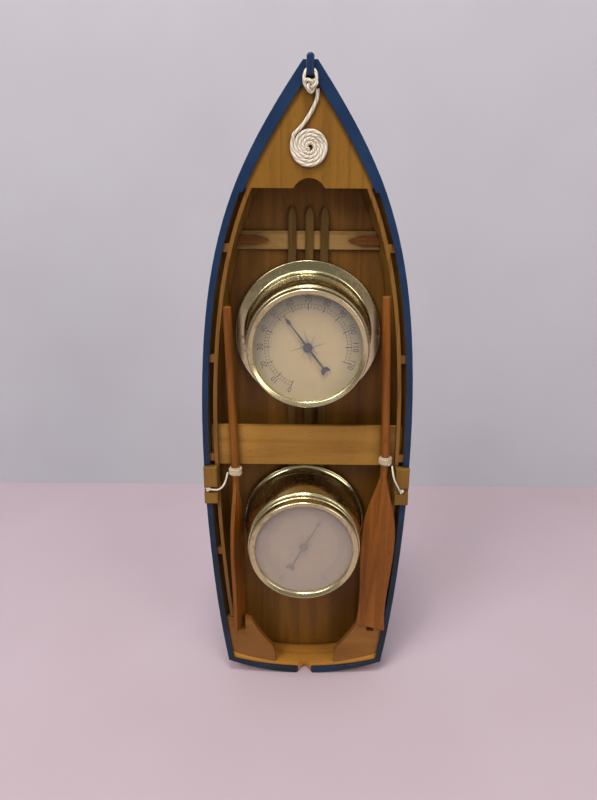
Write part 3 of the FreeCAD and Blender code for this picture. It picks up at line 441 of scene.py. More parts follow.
@dataclass(frozen=True)
class VarnishedWood:
    """Planed softwood or hardwood under a brushed satin varnish.

    The eye gets cathedral figure from slow growth rings, fine straight fibres, short dark pores, a warm depth
    under the varnish and darker corners, painted shade that also stands for stain gathered there.
    """

    name: str
    pale: str
    body: str
    deep: str
    grain: Grain = Grain.ALONG
    ring_mm: float = 26.0
    bands: float = 7.0
    fibre_mm: float = 0.9
    figure: float = 0.35
    roughness: float = 0.42
    coat: float = 0.06
    seed: float = 0.0

    def wood_colour(self, tree: Any) -> tuple[Any, Any]:
        """Builds the wood's colour and its fibre relief.

        Rings are the fraction of bands x a slow noise stretched along the grain; fibres and pores are fine
        noise stretched the same way.

        Args:
            tree: The node tree.

        Returns:
            The colour's socket and the relief's socket.
        """
        place = add(tree, "TexCoord").outputs["Object"]
        along = self.grain.value
        shifted = add(tree, "VectorMath", {"operation": "ADD"},
                      {0: place, 1: (self.seed * 0.37, self.seed * 0.11, self.seed * 0.23)}).outputs["Vector"]
        stretched = add(tree, "Mapping", {}, {"Vector": shifted, "Scale": along}).outputs["Vector"]
        slow = add(tree, "TexNoise", {}, {"Vector": stretched, "Scale": per_metre(self.ring_mm), "Detail": 2.0,
                                          "Roughness": 0.4, "Distortion": 0.3}).outputs["Fac"]
        many = add(tree, "Math", {"operation": "MULTIPLY"}, {0: slow, 1: self.bands}).outputs["Value"]
        ring = add(tree, "Math", {"operation": "PINGPONG"}, {0: many, 1: 0.5}).outputs["Value"]
        late = add(tree, "MapRange", {"interpolation_type": "SMOOTHSTEP"},
                   {"Value": ring, "From Min": 0.02, "From Max": 0.42}).outputs["Result"]
        fibre = add(tree, "TexNoise", {}, {"Vector": stretched, "Scale": per_metre(self.fibre_mm), "Detail": 5.0,
                                           "Roughness": 0.65}).outputs["Fac"]
        pores = add(tree, "TexNoise", {}, {"Vector": stretched, "Scale": per_metre(0.5), "Detail": 1.0})
        pore = add(tree, "MapRange", {}, {"Value": pores.outputs["Fac"], "From Min": 0.66, "From Max": 0.76})
        tint = add(tree, "TexNoise", {}, {"Vector": shifted, "Scale": per_metre(70.0), "Detail": 3.0}).outputs["Fac"]
        mixed = add(tree, "Math", {"operation": "MULTIPLY_ADD"},
                    {0: late, 1: self.figure, 2: (1.0 - self.figure) * 0.5}).outputs["Value"]
        mixed = add(tree, "Math", {"operation": "MULTIPLY_ADD"}, {0: fibre, 1: 0.7, 2: mixed}).outputs["Value"]
        mixed = add(tree, "Math", {"operation": "MULTIPLY_ADD"}, {0: tint, 1: 0.5, 2: mixed}).outputs["Value"]
        shade = add(tree, "MapRange", {}, {"Value": mixed, "From Min": 0.55, "From Max": 1.65}).outputs["Result"]
        colour = add(tree, "ValToRGB", {"stops": [(0.0, self.deep), (0.5, self.body), (1.0, self.pale)]},
                     {"Fac": shade}).outputs["Color"]
        dark = add(tree, "MixRGB", {"blend_type": "MULTIPLY"},
                   {"Fac": pore.outputs["Result"], "Color1": colour, "Color2": linear("8C7862")}).outputs["Color"]
        # painted shade: corners darkened towards 5A4230 by the occlusion mask, also standing for stain gathered there
        pooled_stain_and_shade = add(tree, "Math", {"operation": "MULTIPLY"}, {0: grime(tree, 7.0), 1: 0.7}).outputs["Value"]
        dark = add(tree, "MixRGB", {"blend_type": "MULTIPLY"},
                   {"Fac": pooled_stain_and_shade, "Color1": dark, "Color2": linear("5A4230")}).outputs["Color"]
        relief = add(tree, "Math", {"operation": "SUBTRACT"}, {0: fibre, 1: pore.outputs["Result"]}).outputs["Value"]
        return dark, relief

    def surface(self, tree: Any) -> Any:
        """Builds the varnished wood's shader.

        Args:
            tree: The node tree.

        Returns:
            The shader's socket.
        """
        colour, relief = self.wood_colour(tree)
        rough = add(tree, "MapRange", {}, {"Value": relief, "To Min": self.roughness + 0.12,
                                           "To Max": self.roughness - 0.06}).outputs["Result"]
        round_edge = add(tree, "Bevel", {"samples": 4}, {"Radius": 0.5 * MM}).outputs["Normal"]
        bump = add(tree, "Bump", {}, {"Strength": 0.35, "Distance": 0.12 * MM, "Height": relief,
                                      "Normal": round_edge}).outputs["Normal"]
        return add(tree, "BsdfPrincipled", {}, {
            "Base Color": colour, "Roughness": rough, "Specular IOR Level": 0.22, "Normal": bump,
            "Coat Weight": self.coat, "Coat Roughness": 0.22, "Coat IOR": 1.5}).outputs["BSDF"]

    def material(self) -> Any:
        """The finished material.

        Returns:
            The finished material, with figure, edge wear and varnish.
        """
        material, tree = blank(self.name)
        close(tree, self.surface(tree))
        return material


@dataclass(frozen=True)
class BrushedEnamel:
    """Navy enamel brushed on bare wood.

    The eye gets a deep satin blue that turns greyer and darker towards the stern, a painted shade, with long brush
    marks, chalky fading in patches, and edges worn paler that also carry a painted highlight.
    """

    name: str
    colour: str
    aft: str
    faded: str
    rubbed: str
    roughness: float = 0.38

    def surface(self, tree: Any) -> Any:
        """Builds the paint's shader.

        Args:
            tree: The node tree.

        Returns:
            The shader's socket.
        """
        place = add(tree, "TexCoord").outputs["Object"]
        drawn = add(tree, "Mapping", {}, {"Vector": place, "Scale": (1.0, 1.0, 0.08)}).outputs["Vector"]
        brush = add(tree, "TexNoise", {}, {"Vector": drawn, "Scale": per_metre(0.9), "Detail": 3.0}).outputs["Fac"]
        patch = add(tree, "TexNoise", {}, {"Vector": place, "Scale": per_metre(32.0), "Detail": 5.0}).outputs["Fac"]
        high = add(tree, "SeparateXYZ", {}, {"Vector": place}).outputs["Z"]
        # painted shade: the blue darkens and greys towards the stern, by height along Z
        aft = add(tree, "MapRange", {}, {"Value": high, "From Min": -0.1, "From Max": -0.42}).outputs["Result"]
        base = add(tree, "MixRGB", {}, {"Fac": aft, "Color1": linear(self.colour),
                                        "Color2": linear(self.aft)}).outputs["Color"]
        fade = add(tree, "MapRange", {}, {"Value": patch, "From Min": 0.45, "From Max": 0.8, "To Max": 0.7})
        base = add(tree, "MixRGB", {}, {"Fac": fade.outputs["Result"], "Color1": base,
                                        "Color2": linear(self.faded)}).outputs["Color"]
        # paler edges: wear, and a painted highlight along them
        base = add(tree, "MixRGB", {}, {"Fac": worn_edges(tree, 0.7, 4.0), "Color1": base,
                                        "Color2": linear(self.rubbed)}).outputs["Color"]
        rough = add(tree, "MapRange", {}, {"Value": patch, "To Min": self.roughness - 0.08,
                                           "To Max": self.roughness + 0.14}).outputs["Result"]
        round_edge = add(tree, "Bevel", {"samples": 4}, {"Radius": 0.7 * MM}).outputs["Normal"]
        bump = add(tree, "Bump", {}, {"Strength": 0.3, "Distance": 0.1 * MM, "Height": brush,
                                      "Normal": round_edge}).outputs["Normal"]
        return add(tree, "BsdfPrincipled", {}, {"Base Color": base, "Roughness": rough, "Specular IOR Level": 0.3,
                                                "Normal": bump, "Coat Weight": 0.08,
                                                "Coat Roughness": 0.25}).outputs["BSDF"]

    def material(self) -> Any:
        """The finished material.

        Returns:
            The finished material, paler along the edges: worn paint and a painted highlight.
        """
        material, tree = blank(self.name)
        close(tree, self.surface(tree))
        return material


@dataclass(frozen=True)
class PaintedPlank:
    """A side plank: enamel on its outer face, varnished wood on its inner face and edges."""

    name: str
    paint: BrushedEnamel
    wood: VarnishedWood

    def material(self) -> Any:
        """The finished material: paint where the surface looks away from the centre line.

        The mask is 1 where X and the normal's X have the same sign, so both planks can share it.

        Returns:
            The finished material, paint outside and varnished wood inside.
        """
        material, tree = blank(self.name)
        spot = add(tree, "SeparateXYZ", {}, {"Vector": add(tree, "TexCoord").outputs["Object"]}).outputs["X"]
        lean = add(tree, "SeparateXYZ", {}, {"Vector": add(tree, "NewGeometry").outputs["True Normal"]}).outputs["X"]
        side = add(tree, "Math", {"operation": "SIGN"}, {0: spot}).outputs["Value"]
        away = add(tree, "Math", {"operation": "MULTIPLY"}, {0: side, 1: lean}).outputs["Value"]
        outer = add(tree, "Math", {"operation": "GREATER_THAN"}, {0: away, 1: 0.25}).outputs["Value"]
        both = add(tree, "MixShader", {}, {"Fac": outer, 1: self.wood.surface(tree), 2: self.paint.surface(tree)})
        close(tree, both.outputs["Shader"])
        return material


@dataclass(frozen=True)
class SpunBrass:
    """Brass sheet spun on a lathe, polished and lacquered.

    The eye gets mirror-like bands round the axis, broken by faint spinning marks, with brown tarnish where the
    lacquer has gone and a duller film in patches.
    """

    name: str
    centre: tuple[float, float]
    colour: str = "CFC498"
    tarnish: str = "988660"
    roughness: float = 0.2
    mark_mm: float = 0.7

    def material(self) -> Any:
        """The finished material.

        Spinning marks are noise of the distance from the axis and the height alone, so they run round the case.

        Returns:
            The finished material, with tarnish and spinning marks.
        """
        material, tree = blank(self.name)
        place = add(tree, "TexCoord").outputs["Object"]
        centred = add(tree, "Mapping", {}, {"Vector": place, "Location": (-self.centre[0], 0.0, -self.centre[1])})
        split = add(tree, "SeparateXYZ", {}, {"Vector": centred.outputs["Vector"]})
        flat = add(tree, "CombineXYZ", {}, {"X": split.outputs["X"], "Y": split.outputs["Z"]}).outputs["Vector"]
        away = add(tree, "VectorMath", {"operation": "LENGTH"}, {0: flat}).outputs["Value"]
        turned = add(tree, "CombineXYZ", {}, {"X": away, "Y": split.outputs["Y"]}).outputs["Vector"]
        marks = add(tree, "TexNoise", {}, {"Vector": turned, "Scale": per_metre(self.mark_mm), "Detail": 3.0})
        film = add(tree, "TexNoise", {}, {"Vector": place, "Scale": per_metre(28.0), "Detail": 6.0,
                                          "Roughness": 0.6}).outputs["Fac"]
        spots = add(tree, "TexNoise", {}, {"Vector": place, "Scale": per_metre(5.0), "Detail": 6.0}).outputs["Fac"]
        gone = add(tree, "Math", {"operation": "MULTIPLY"}, {0: film, 1: spots}).outputs["Value"]
        gone = add(tree, "MapRange", {}, {"Value": gone, "From Min": 0.24, "From Max": 0.42}).outputs["Result"]
        corner = add(tree, "Math", {"operation": "MAXIMUM"}, {0: gone, 1: grime(tree, 3.0)}).outputs["Value"]
        share = add(tree, "Math", {"operation": "MULTIPLY"}, {0: corner, 1: 0.65}).outputs["Value"]
        base = add(tree, "MixRGB", {}, {"Fac": share, "Color1": linear(self.colour),
                                        "Color2": linear(self.tarnish)}).outputs["Color"]
        rough = add(tree, "MapRange", {}, {"Value": corner, "To Min": self.roughness,
                                           "To Max": self.roughness + 0.2}).outputs["Result"]
        bump = add(tree, "Bump", {}, {"Strength": 0.12, "Distance": 0.05 * MM,
                                      "Height": marks.outputs["Fac"]}).outputs["Normal"]
        close(tree, add(tree, "BsdfPrincipled", {}, {"Base Color": base, "Metallic": 1.0, "Roughness": rough,
                                                     "Normal": bump, "Coat Weight": 0.3,
                                                     "Coat Roughness": 0.08}).outputs["BSDF"])
        return material


@dataclass(frozen=True)
class MachinedMetal:
    """Turned, stamped or plated metal of the parts inside and behind.

    The eye gets a soft metal shine with fine tool marks, and a duller, darker tone in patches and in corners
    found by ambient occlusion.
    """

    name: str
    colour: str
    dull: str
    roughness: float = 0.32
    mark_mm: float = 0.4

    def material(self) -> Any:
        """The finished material.

        Returns:
            The finished material, with fine turning or drawing marks.
        """
        material, tree = blank(self.name)
        place = add(tree, "TexCoord").outputs["Object"]
        marks = add(tree, "TexNoise", {}, {"Vector": place, "Scale": per_metre(self.mark_mm), "Detail": 2.0})
        film = add(tree, "TexNoise", {}, {"Vector": place, "Scale": per_metre(9.0), "Detail": 5.0}).outputs["Fac"]
        # darker and duller where the film noise is high and in corners the occlusion mask finds
        share = add(tree, "Math", {"operation": "MAXIMUM"}, {0: film, 1: grime(tree, 2.0)}).outputs["Value"]
        share = add(tree, "MapRange", {}, {"Value": share, "From Min": 0.4, "From Max": 0.9}).outputs["Result"]
        base = add(tree, "MixRGB", {}, {"Fac": share, "Color1": linear(self.colour),
                                        "Color2": linear(self.dull)}).outputs["Color"]
        rough = add(tree, "MapRange", {}, {"Value": film, "To Min": self.roughness - 0.06,
                                           "To Max": self.roughness + 0.16}).outputs["Result"]
        bump = add(tree, "Bump", {}, {"Strength": 0.15, "Distance": 0.03 * MM,
                                      "Height": marks.outputs["Fac"]}).outputs["Normal"]
        close(tree, add(tree, "BsdfPrincipled", {}, {"Base Color": base, "Metallic": 1.0, "Roughness": rough,
                                                     "Normal": bump}).outputs["BSDF"])
        return material


@dataclass(frozen=True)
class DialCard:
    """Cream printed card: warm in the middle and below, greyer towards its top rim where the bezel's shadow is
    painted, and foxed.
    """

    name: str
    centre: tuple[float, float]
    middle: str
    rim: str
    rim_mm: float = 48.0

    def material(self) -> Any:
        """The finished material: the two tones are mixed by the distance from the middle and by height, the rim tone
        being a painted shadow that is strongest at the top, and foxing is noise.

        Returns:
            The finished material, a toned and foxed card.
        """
        material, tree = blank(self.name)
        place = add(tree, "TexCoord").outputs["Object"]
        centred = add(tree, "Mapping", {}, {"Vector": place, "Location": (-self.centre[0], 0.0, -self.centre[1])})
        split = add(tree, "SeparateXYZ", {}, {"Vector": centred.outputs["Vector"]})
        flat = add(tree, "CombineXYZ", {}, {"X": split.outputs["X"], "Y": split.outputs["Z"]}).outputs["Vector"]
        away = add(tree, "VectorMath", {"operation": "LENGTH"}, {0: flat}).outputs["Value"]
        toward_rim = add(tree, "MapRange", {"interpolation_type": "SMOOTHSTEP"},
                   {"Value": away, "From Min": 0.5 * self.rim_mm * MM, "From Max": self.rim_mm * MM})
        cloud = add(tree, "TexNoise", {}, {"Vector": place, "Scale": per_metre(16.0), "Detail": 5.0}).outputs["Fac"]
        share = add(tree, "Math", {"operation": "MULTIPLY_ADD"}, {0: cloud, 1: 0.5, 2: -0.25}).outputs["Value"]
        # painted shadow of the bezel: the rim tone is strongest at the top of the dial
        upper_shadow = add(tree, "MapRange", {}, {"Value": split.outputs["Z"], "From Min": -self.rim_mm * MM,
                                           "From Max": 0.7 * self.rim_mm * MM, "To Min": 0.1}).outputs["Result"]
        rim = add(tree, "Math", {"operation": "MULTIPLY"}, {0: toward_rim.outputs["Result"], 1: upper_shadow}).outputs["Value"]
        share = add(tree, "Math", {"operation": "ADD", "use_clamp": True}, {0: rim, 1: share}).outputs["Value"]
        # the rim colour is the painted shadow's tone
        base = add(tree, "MixRGB", {}, {"Fac": share, "Color1": linear(self.middle),
                                        "Color2": linear(self.rim)}).outputs["Color"]
        specks = add(tree, "TexNoise", {}, {"Vector": place, "Scale": per_metre(1.1), "Detail": 2.0}).outputs["Fac"]
        fox = add(tree, "MapRange", {}, {"Value": specks, "From Min": 0.68, "From Max": 0.8, "To Max": 0.35})
        base = add(tree, "MixRGB", {"blend_type": "MULTIPLY"}, {"Fac": fox.outputs["Result"], "Color1": base,
                                                                "Color2": linear("B59A70")}).outputs["Color"]
        bump = add(tree, "Bump", {}, {"Strength": 0.1, "Distance": 0.02 * MM, "Height": specks}).outputs["Normal"]
        close(tree, add(tree, "BsdfPrincipled", {}, {"Base Color": base, "Roughness": 0.55, "IOR": 1.5,
                                                     "Normal": bump}).outputs["BSDF"])
        return material


@dataclass(frozen=True)
class PrintersInk:
    """Printing ink on card: matt, a little uneven where the card took less of it."""

    name: str
    colour: str
    thin: str

    def material(self) -> Any:
        """The finished material.

        Returns:
            The finished material, a matt ink with a broken edge.
        """
        material, tree = blank(self.name)
        place = add(tree, "TexCoord").outputs["Object"]
        patch = add(tree, "TexNoise", {}, {"Vector": place, "Scale": per_metre(1.6), "Detail": 3.0}).outputs["Fac"]
        share = add(tree, "MapRange", {}, {"Value": patch, "From Min": 0.4, "From Max": 0.75}).outputs["Result"]
        base = add(tree, "MixRGB", {}, {"Fac": share, "Color1": linear(self.colour),
                                        "Color2": linear(self.thin)}).outputs["Color"]
        close(tree, add(tree, "BsdfPrincipled", {}, {"Base Color": base, "Roughness": 0.6,
                                                     "IOR": 1.5}).outputs["BSDF"])
        return material


@dataclass(frozen=True)
class WindowGlass:
    """Flat clear glass; a film of 0 is clean, and towards 1 it is fogged milky from the inside.

    Light passes straight through on its way to the dial, so that the dial isn't black behind it.
    """

    name: str
    film: float
    film_colour: str
    haze: float

    def material(self) -> Any:
        """The finished material: glass and a thin chalky film, mixed by cloudy noise round the film's share.

        Returns:
            The finished material, clear glass under its film.
        """
        material, tree = blank(self.name)
        place = add(tree, "TexCoord").outputs["Object"]
        glass = add(tree, "BsdfPrincipled", {}, {
            "Base Color": linear("FBFCFA"), "Roughness": self.haze, "IOR": 1.45,
            "Transmission Weight": 1.0}).outputs["BSDF"]
        cloud = add(tree, "TexNoise", {}, {"Vector": place, "Scale": per_metre(24.0), "Detail": 2.0}).outputs["Fac"]
        share = add(tree, "MapRange", {}, {"Value": cloud, "From Min": 0.3, "From Max": 0.7,
                                           "To Min": self.film * 0.88, "To Max": min(self.film * 1.12, 0.97)})
        fogged = add(tree, "BsdfPrincipled", {}, {"Base Color": linear(self.film_colour), "Roughness": 0.34,
                                                  "IOR": 1.45}).outputs["BSDF"]
        pane = add(tree, "MixShader", {}, {"Fac": share.outputs["Result"], 1: glass, 2: fogged}).outputs["Shader"]
        ray = add(tree, "LightPath")
        through = add(tree, "Math", {"operation": "MAXIMUM"}, {0: ray.outputs["Is Shadow Ray"],
                                                               1: ray.outputs["Is Diffuse Ray"]}).outputs["Value"]
        clear = add(tree, "BsdfTransparent", {}, {"Color": linear("F4F3EE")}).outputs["BSDF"]
        close(tree, add(tree, "MixShader", {}, {"Fac": through, 1: pane, 2: clear}).outputs["Shader"])
        return material


@dataclass(frozen=True)
class TwistedCotton:
    """Three strands of cotton laid up into line, or one fine thread.

    The eye gets slanting strands with painted shade in the grooves between them, fuzz that catches light and grey
    handling marks.
    The pattern follows the piece's own UV map: U along the line and V round it.
    """

    name: str
    colour: str
    soiled: str
    turns: float
    strands: float = 3.0

    def material(self) -> Any:
        """The finished material: strands are the sine of 2 pi (strands V + turns U).

        Returns:
            The finished material, laid strands with fuzz.
        """
        material, tree = blank(self.name)
        place = add(tree, "TexCoord")
        split = add(tree, "SeparateXYZ", {}, {"Vector": place.outputs["UV"]})
        along = add(tree, "Math", {"operation": "MULTIPLY"}, {0: split.outputs["X"], 1: self.turns}).outputs["Value"]
        phase = add(tree, "Math", {"operation": "MULTIPLY_ADD"},
                    {0: split.outputs["Y"], 1: self.strands, 2: along}).outputs["Value"]
        angle = add(tree, "Math", {"operation": "MULTIPLY"}, {0: phase, 1: 2 * math.pi}).outputs["Value"]
        wave = add(tree, "Math", {"operation": "SINE"}, {0: angle}).outputs["Value"]
        crown = add(tree, "MapRange", {}, {"Value": wave, "From Min": -1.0, "From Max": 0.2}).outputs["Result"]
        fuzz = add(tree, "TexNoise", {}, {"Vector": place.outputs["Object"], "Scale": per_metre(0.35),
                                          "Detail": 3.0}).outputs["Fac"]
        hand = add(tree, "TexNoise", {}, {"Vector": place.outputs["Object"], "Scale": per_metre(11.0),
                                          "Detail": 4.0}).outputs["Fac"]
        dirty = add(tree, "MapRange", {}, {"Value": hand, "From Min": 0.45, "From Max": 0.75, "To Max": 0.6})
        base = add(tree, "MixRGB", {}, {"Fac": dirty.outputs["Result"], "Color1": linear(self.colour),
                                        "Color2": linear(self.soiled)}).outputs["Color"]
        # painted shade: the colour darkens towards 8F8169 in the grooves between strands
        groove_shade = add(tree, "MapRange", {}, {"Value": crown, "To Min": 0.55, "To Max": 0.0}).outputs["Result"]
        base = add(tree, "MixRGB", {"blend_type": "MULTIPLY"}, {"Fac": groove_shade, "Color1": base,
                                                                "Color2": linear("8F8169")}).outputs["Color"]
        raised = add(tree, "Math", {"operation": "MULTIPLY_ADD"}, {0: fuzz, 1: 0.35, 2: crown}).outputs["Value"]
        bump = add(tree, "Bump", {}, {"Strength": 0.7, "Distance": 0.35 * MM, "Height": raised}).outputs["Normal"]
        close(tree, add(tree, "BsdfPrincipled", {}, {"Base Color": base, "Roughness": 0.85, "IOR": 1.45,
                                                     "Sheen Weight": 0.35, "Sheen Roughness": 0.4,
                                                     "Normal": bump}).outputs["BSDF"])
        return material


@dataclass(frozen=True)
class StudioCloth:
    """Plain pale cloth of the floor and the wall behind."""

    name: str
    colour: str
    mark: str

    def material(self) -> Any:
        """The finished material: one pale colour with broad soft creases, on the cloth's face only.

        The cloth's back lets everything through, so the object's back is in view from behind the wall.

        Returns:
            The finished material, a pale cloth.
        """
        material, tree = blank(self.name)
        place = add(tree, "TexCoord").outputs["Object"]
        crease = add(tree, "TexNoise", {}, {"Vector": place, "Scale": per_metre(160.0), "Detail": 2.0}).outputs["Fac"]
        tone = add(tree, "MixRGB", {}, {"Fac": crease, "Color1": linear(self.colour),
                                        "Color2": linear(self.mark)}).outputs["Color"]
        bump = add(tree, "Bump", {}, {"Strength": 0.25, "Distance": 6 * MM, "Height": crease}).outputs["Normal"]
        face = add(tree, "BsdfPrincipled", {}, {"Base Color": tone, "Roughness": 0.9, "IOR": 1.4,
                                                "Normal": bump}).outputs["BSDF"]
        back = add(tree, "NewGeometry").outputs["Backfacing"]
        clear = add(tree, "BsdfTransparent").outputs["BSDF"]
        close(tree, add(tree, "MixShader", {}, {"Fac": back, 1: face, 2: clear}).outputs["Shader"])
        return material


# ---- the studio ------------------------------------------------------------------------------------


@dataclass(frozen=True)
class Studio:
    """Camera, pale floor and wall, and plain soft light."""

    stand: Point = (-0.0028, -0.622, 0.0)
    pitch: float = 18.504
    yaw: float = -0.5
    roll: float = -0.481
    long_side: float = 800.0
    focal: float = 650.0
    sensor_mm: float = 36.0
    floor_reach: float = 3.0
    wall_gap: float = 0.43

    def camera(self) -> Any:
        """Makes the camera.

        It starts level along +Y, tips down by the pitch, turns by the yaw and leans by the roll, each about its
        own axes. The lens is the focal length over the frame's long side, times the sensor.

        Returns:
            The camera's object, which is made the scene's camera.
        """
        data = bpy.data.cameras.new("camera")
        data.sensor_width = self.sensor_mm
        data.lens = self.focal / self.long_side * self.sensor_mm
        data.clip_start, data.clip_end = 0.01, 20.0
        right, ahead, down = np.eye(3)[0], np.eye(3)[1], -np.eye(3)[2]
        p, y, r = (math.radians(a) for a in (self.pitch, self.yaw, self.roll))
        ahead, down = math.cos(p) * ahead + math.sin(p) * down, -math.sin(p) * ahead + math.cos(p) * down
        ahead, right = math.cos(y) * ahead + math.sin(y) * right, -math.sin(y) * ahead + math.cos(y) * right
        right, down = math.cos(r) * right + math.sin(r) * down, -math.sin(r) * right + math.cos(r) * down
        made = bpy.data.objects.new("camera", data)
        bpy.context.scene.collection.objects.link(made)
        turn = Matrix(np.stack([right, -down, -ahead], axis=1).tolist()).to_4x4()
        made.matrix_world = Matrix.Translation(self.stand) @ turn
        bpy.context.scene.camera = made
        return made

    def stage(self) -> None:
        """Lays the floor under the stern and stands the wall cloth behind."""
        low = CAD_BOX[0].z - 0.0005
        cloths = {
            "floor_cloth": (StudioCloth("brushed_cotton_floor", "BEAEB8", "B6A5AC"),
                            [(-1, -1, 0), (1, -1, 0), (1, 1, 0), (-1, 1, 0)], (0.0, 0.0, low)),
            "wall_cloth": (StudioCloth("brushed_cotton_wall", "BEC0C8", "B6B4BC"),
                           [(-1, 0, 0), (1, 0, 0), (1, 0, 1), (-1, 0, 1)], (0.0, self.wall_gap, low)),
        }
        for name, (cloth, corners, place) in cloths.items():
            data = bpy.data.meshes.new(name)
            points = np.array(corners, float) * self.floor_reach + np.array(place)
            data.from_pydata(points.tolist(), [], [[0, 1, 2, 3]])
            data.materials.append(cloth.material())
            made = bpy.data.objects.new(name, data)
            bpy.context.scene.collection.objects.link(made)

    def lamp(self, name: str, place: Point, aim: Point, size: tuple[float, float], watts: float, colour: str) -> None:
        """Hangs one soft box.

        Args:
            name: The lamp's name.
            place: Where it hangs.
            aim: What it looks at.
            size: Its width and height in metres.
            watts: Its power.
            colour: Its light's colour.
        """
        data = bpy.data.lights.new(name, "AREA")
        data.shape = "RECTANGLE"
        data.size, data.size_y = size
        data.energy = watts
        data.color = linear(colour)[:3]
        made = bpy.data.objects.new(name, data)
        made.rotation_mode = "QUATERNION"
        made.rotation_quaternion = (Vector(aim) - Vector(place)).to_track_quat("-Z", "Y")
        made.location = place
        bpy.context.scene.collection.objects.link(made)

    def light(self) -> None:
        """Hangs the soft boxes and fills the room with a plain pale glow that is dimmer low in front."""
        middle = (0.0, -0.03, -0.2)
        self.lamp("window_left", (-1.5, -1.9, 1.9), middle, (1.2, 1.5), 46.0, "FFFCF8")
        self.lamp("room_right", (2.1, -2.4, 0.9), middle, (1.2, 1.9), 26.0, "FFF4EA")
        self.lamp("overhead", (-0.1, -0.85, 2.0), middle, (0.6, 0.5), 30.0, "FFFAF2")
        world = bpy.data.worlds.new("room")
        world.use_nodes = True
        tree = world.node_tree
        tree.nodes.clear()
        look = add(tree, "SeparateXYZ", {}, {"Vector": add(tree, "TexCoord").outputs["Generated"]})
        high = add(tree, "MapRange", {}, {"Value": look.outputs["Z"], "From Min": -0.3, "From Max": 0.8})
        tone = add(tree, "ValToRGB", {"stops": [(0.0, "4E4844"), (0.35, "7E7A78"), (1.0, "BEC0C6")]},
                   {"Fac": high.outputs["Result"]}).outputs["Color"]
        glow = add(tree, "Background", {}, {"Color": tone, "Strength": 1.0}).outputs["Background"]
        add(tree, "OutputWorld", {}, {"Surface": glow})
        bpy.context.scene.world = world


# ---- cords ------------------------------------------------------------------------------------------


def smooth_cord(name: str, points: Array, radius: float, finish: Any) -> Any:
    """Cord on one open quadratic NURBS spline that starts and ends on its first and last control point.

    Args:
        name: The cord's name.
        points: N x 3 control points in metres.
        radius: Its radius.
        finish: Its material.

    Returns:
        The cord's object, riding on the boat.
    """
    data = bpy.data.curves.new(name, "CURVE")
    data.dimensions = "3D"
    data.resolution_u = 8
    data.bevel_depth = radius
    data.bevel_resolution = 4
    data.use_fill_caps = True
    spline = data.splines.new("NURBS")
    spline.points.add(len(points) - 1)
    spline.points.foreach_set("co", np.column_stack([points, np.ones(len(points))]).ravel())
    spline.order_u = 3
    spline.use_endpoint_u = True
    return piece(name, data, "boat", finish)


def route(points: Sequence[Point]) -> Array:
    """Turns a route of (x, height, z) in millimetres into places in the row frame."""
    x, h, z = np.array(points, float).T * MM
    return np.column_stack([x, -h, z])


def trefoil(centre: Point, size: float, steps: int = 96) -> Array:
    """Centre line of an overhand knot drawn tight.

    It is the trefoil x = sin t + 2 sin 2t, z = cos t - 2 cos 2t, depth = -sin 3t, scaled so that its widest
    point is size from the centre.

    Args:
        centre: The knot's middle.
        size: Half its width along the line.
        steps: Points of the line.

    Returns:
        The points, which close on themselves.
    """
    t = np.linspace(0.0, 2 * np.pi, steps, endpoint=False)
    line = np.column_stack([np.sin(t) + 2 * np.sin(2 * t), -np.sin(3 * t), np.cos(t) - 2 * np.cos(2 * t)])
    return np.array(centre) + line * size / 3.0


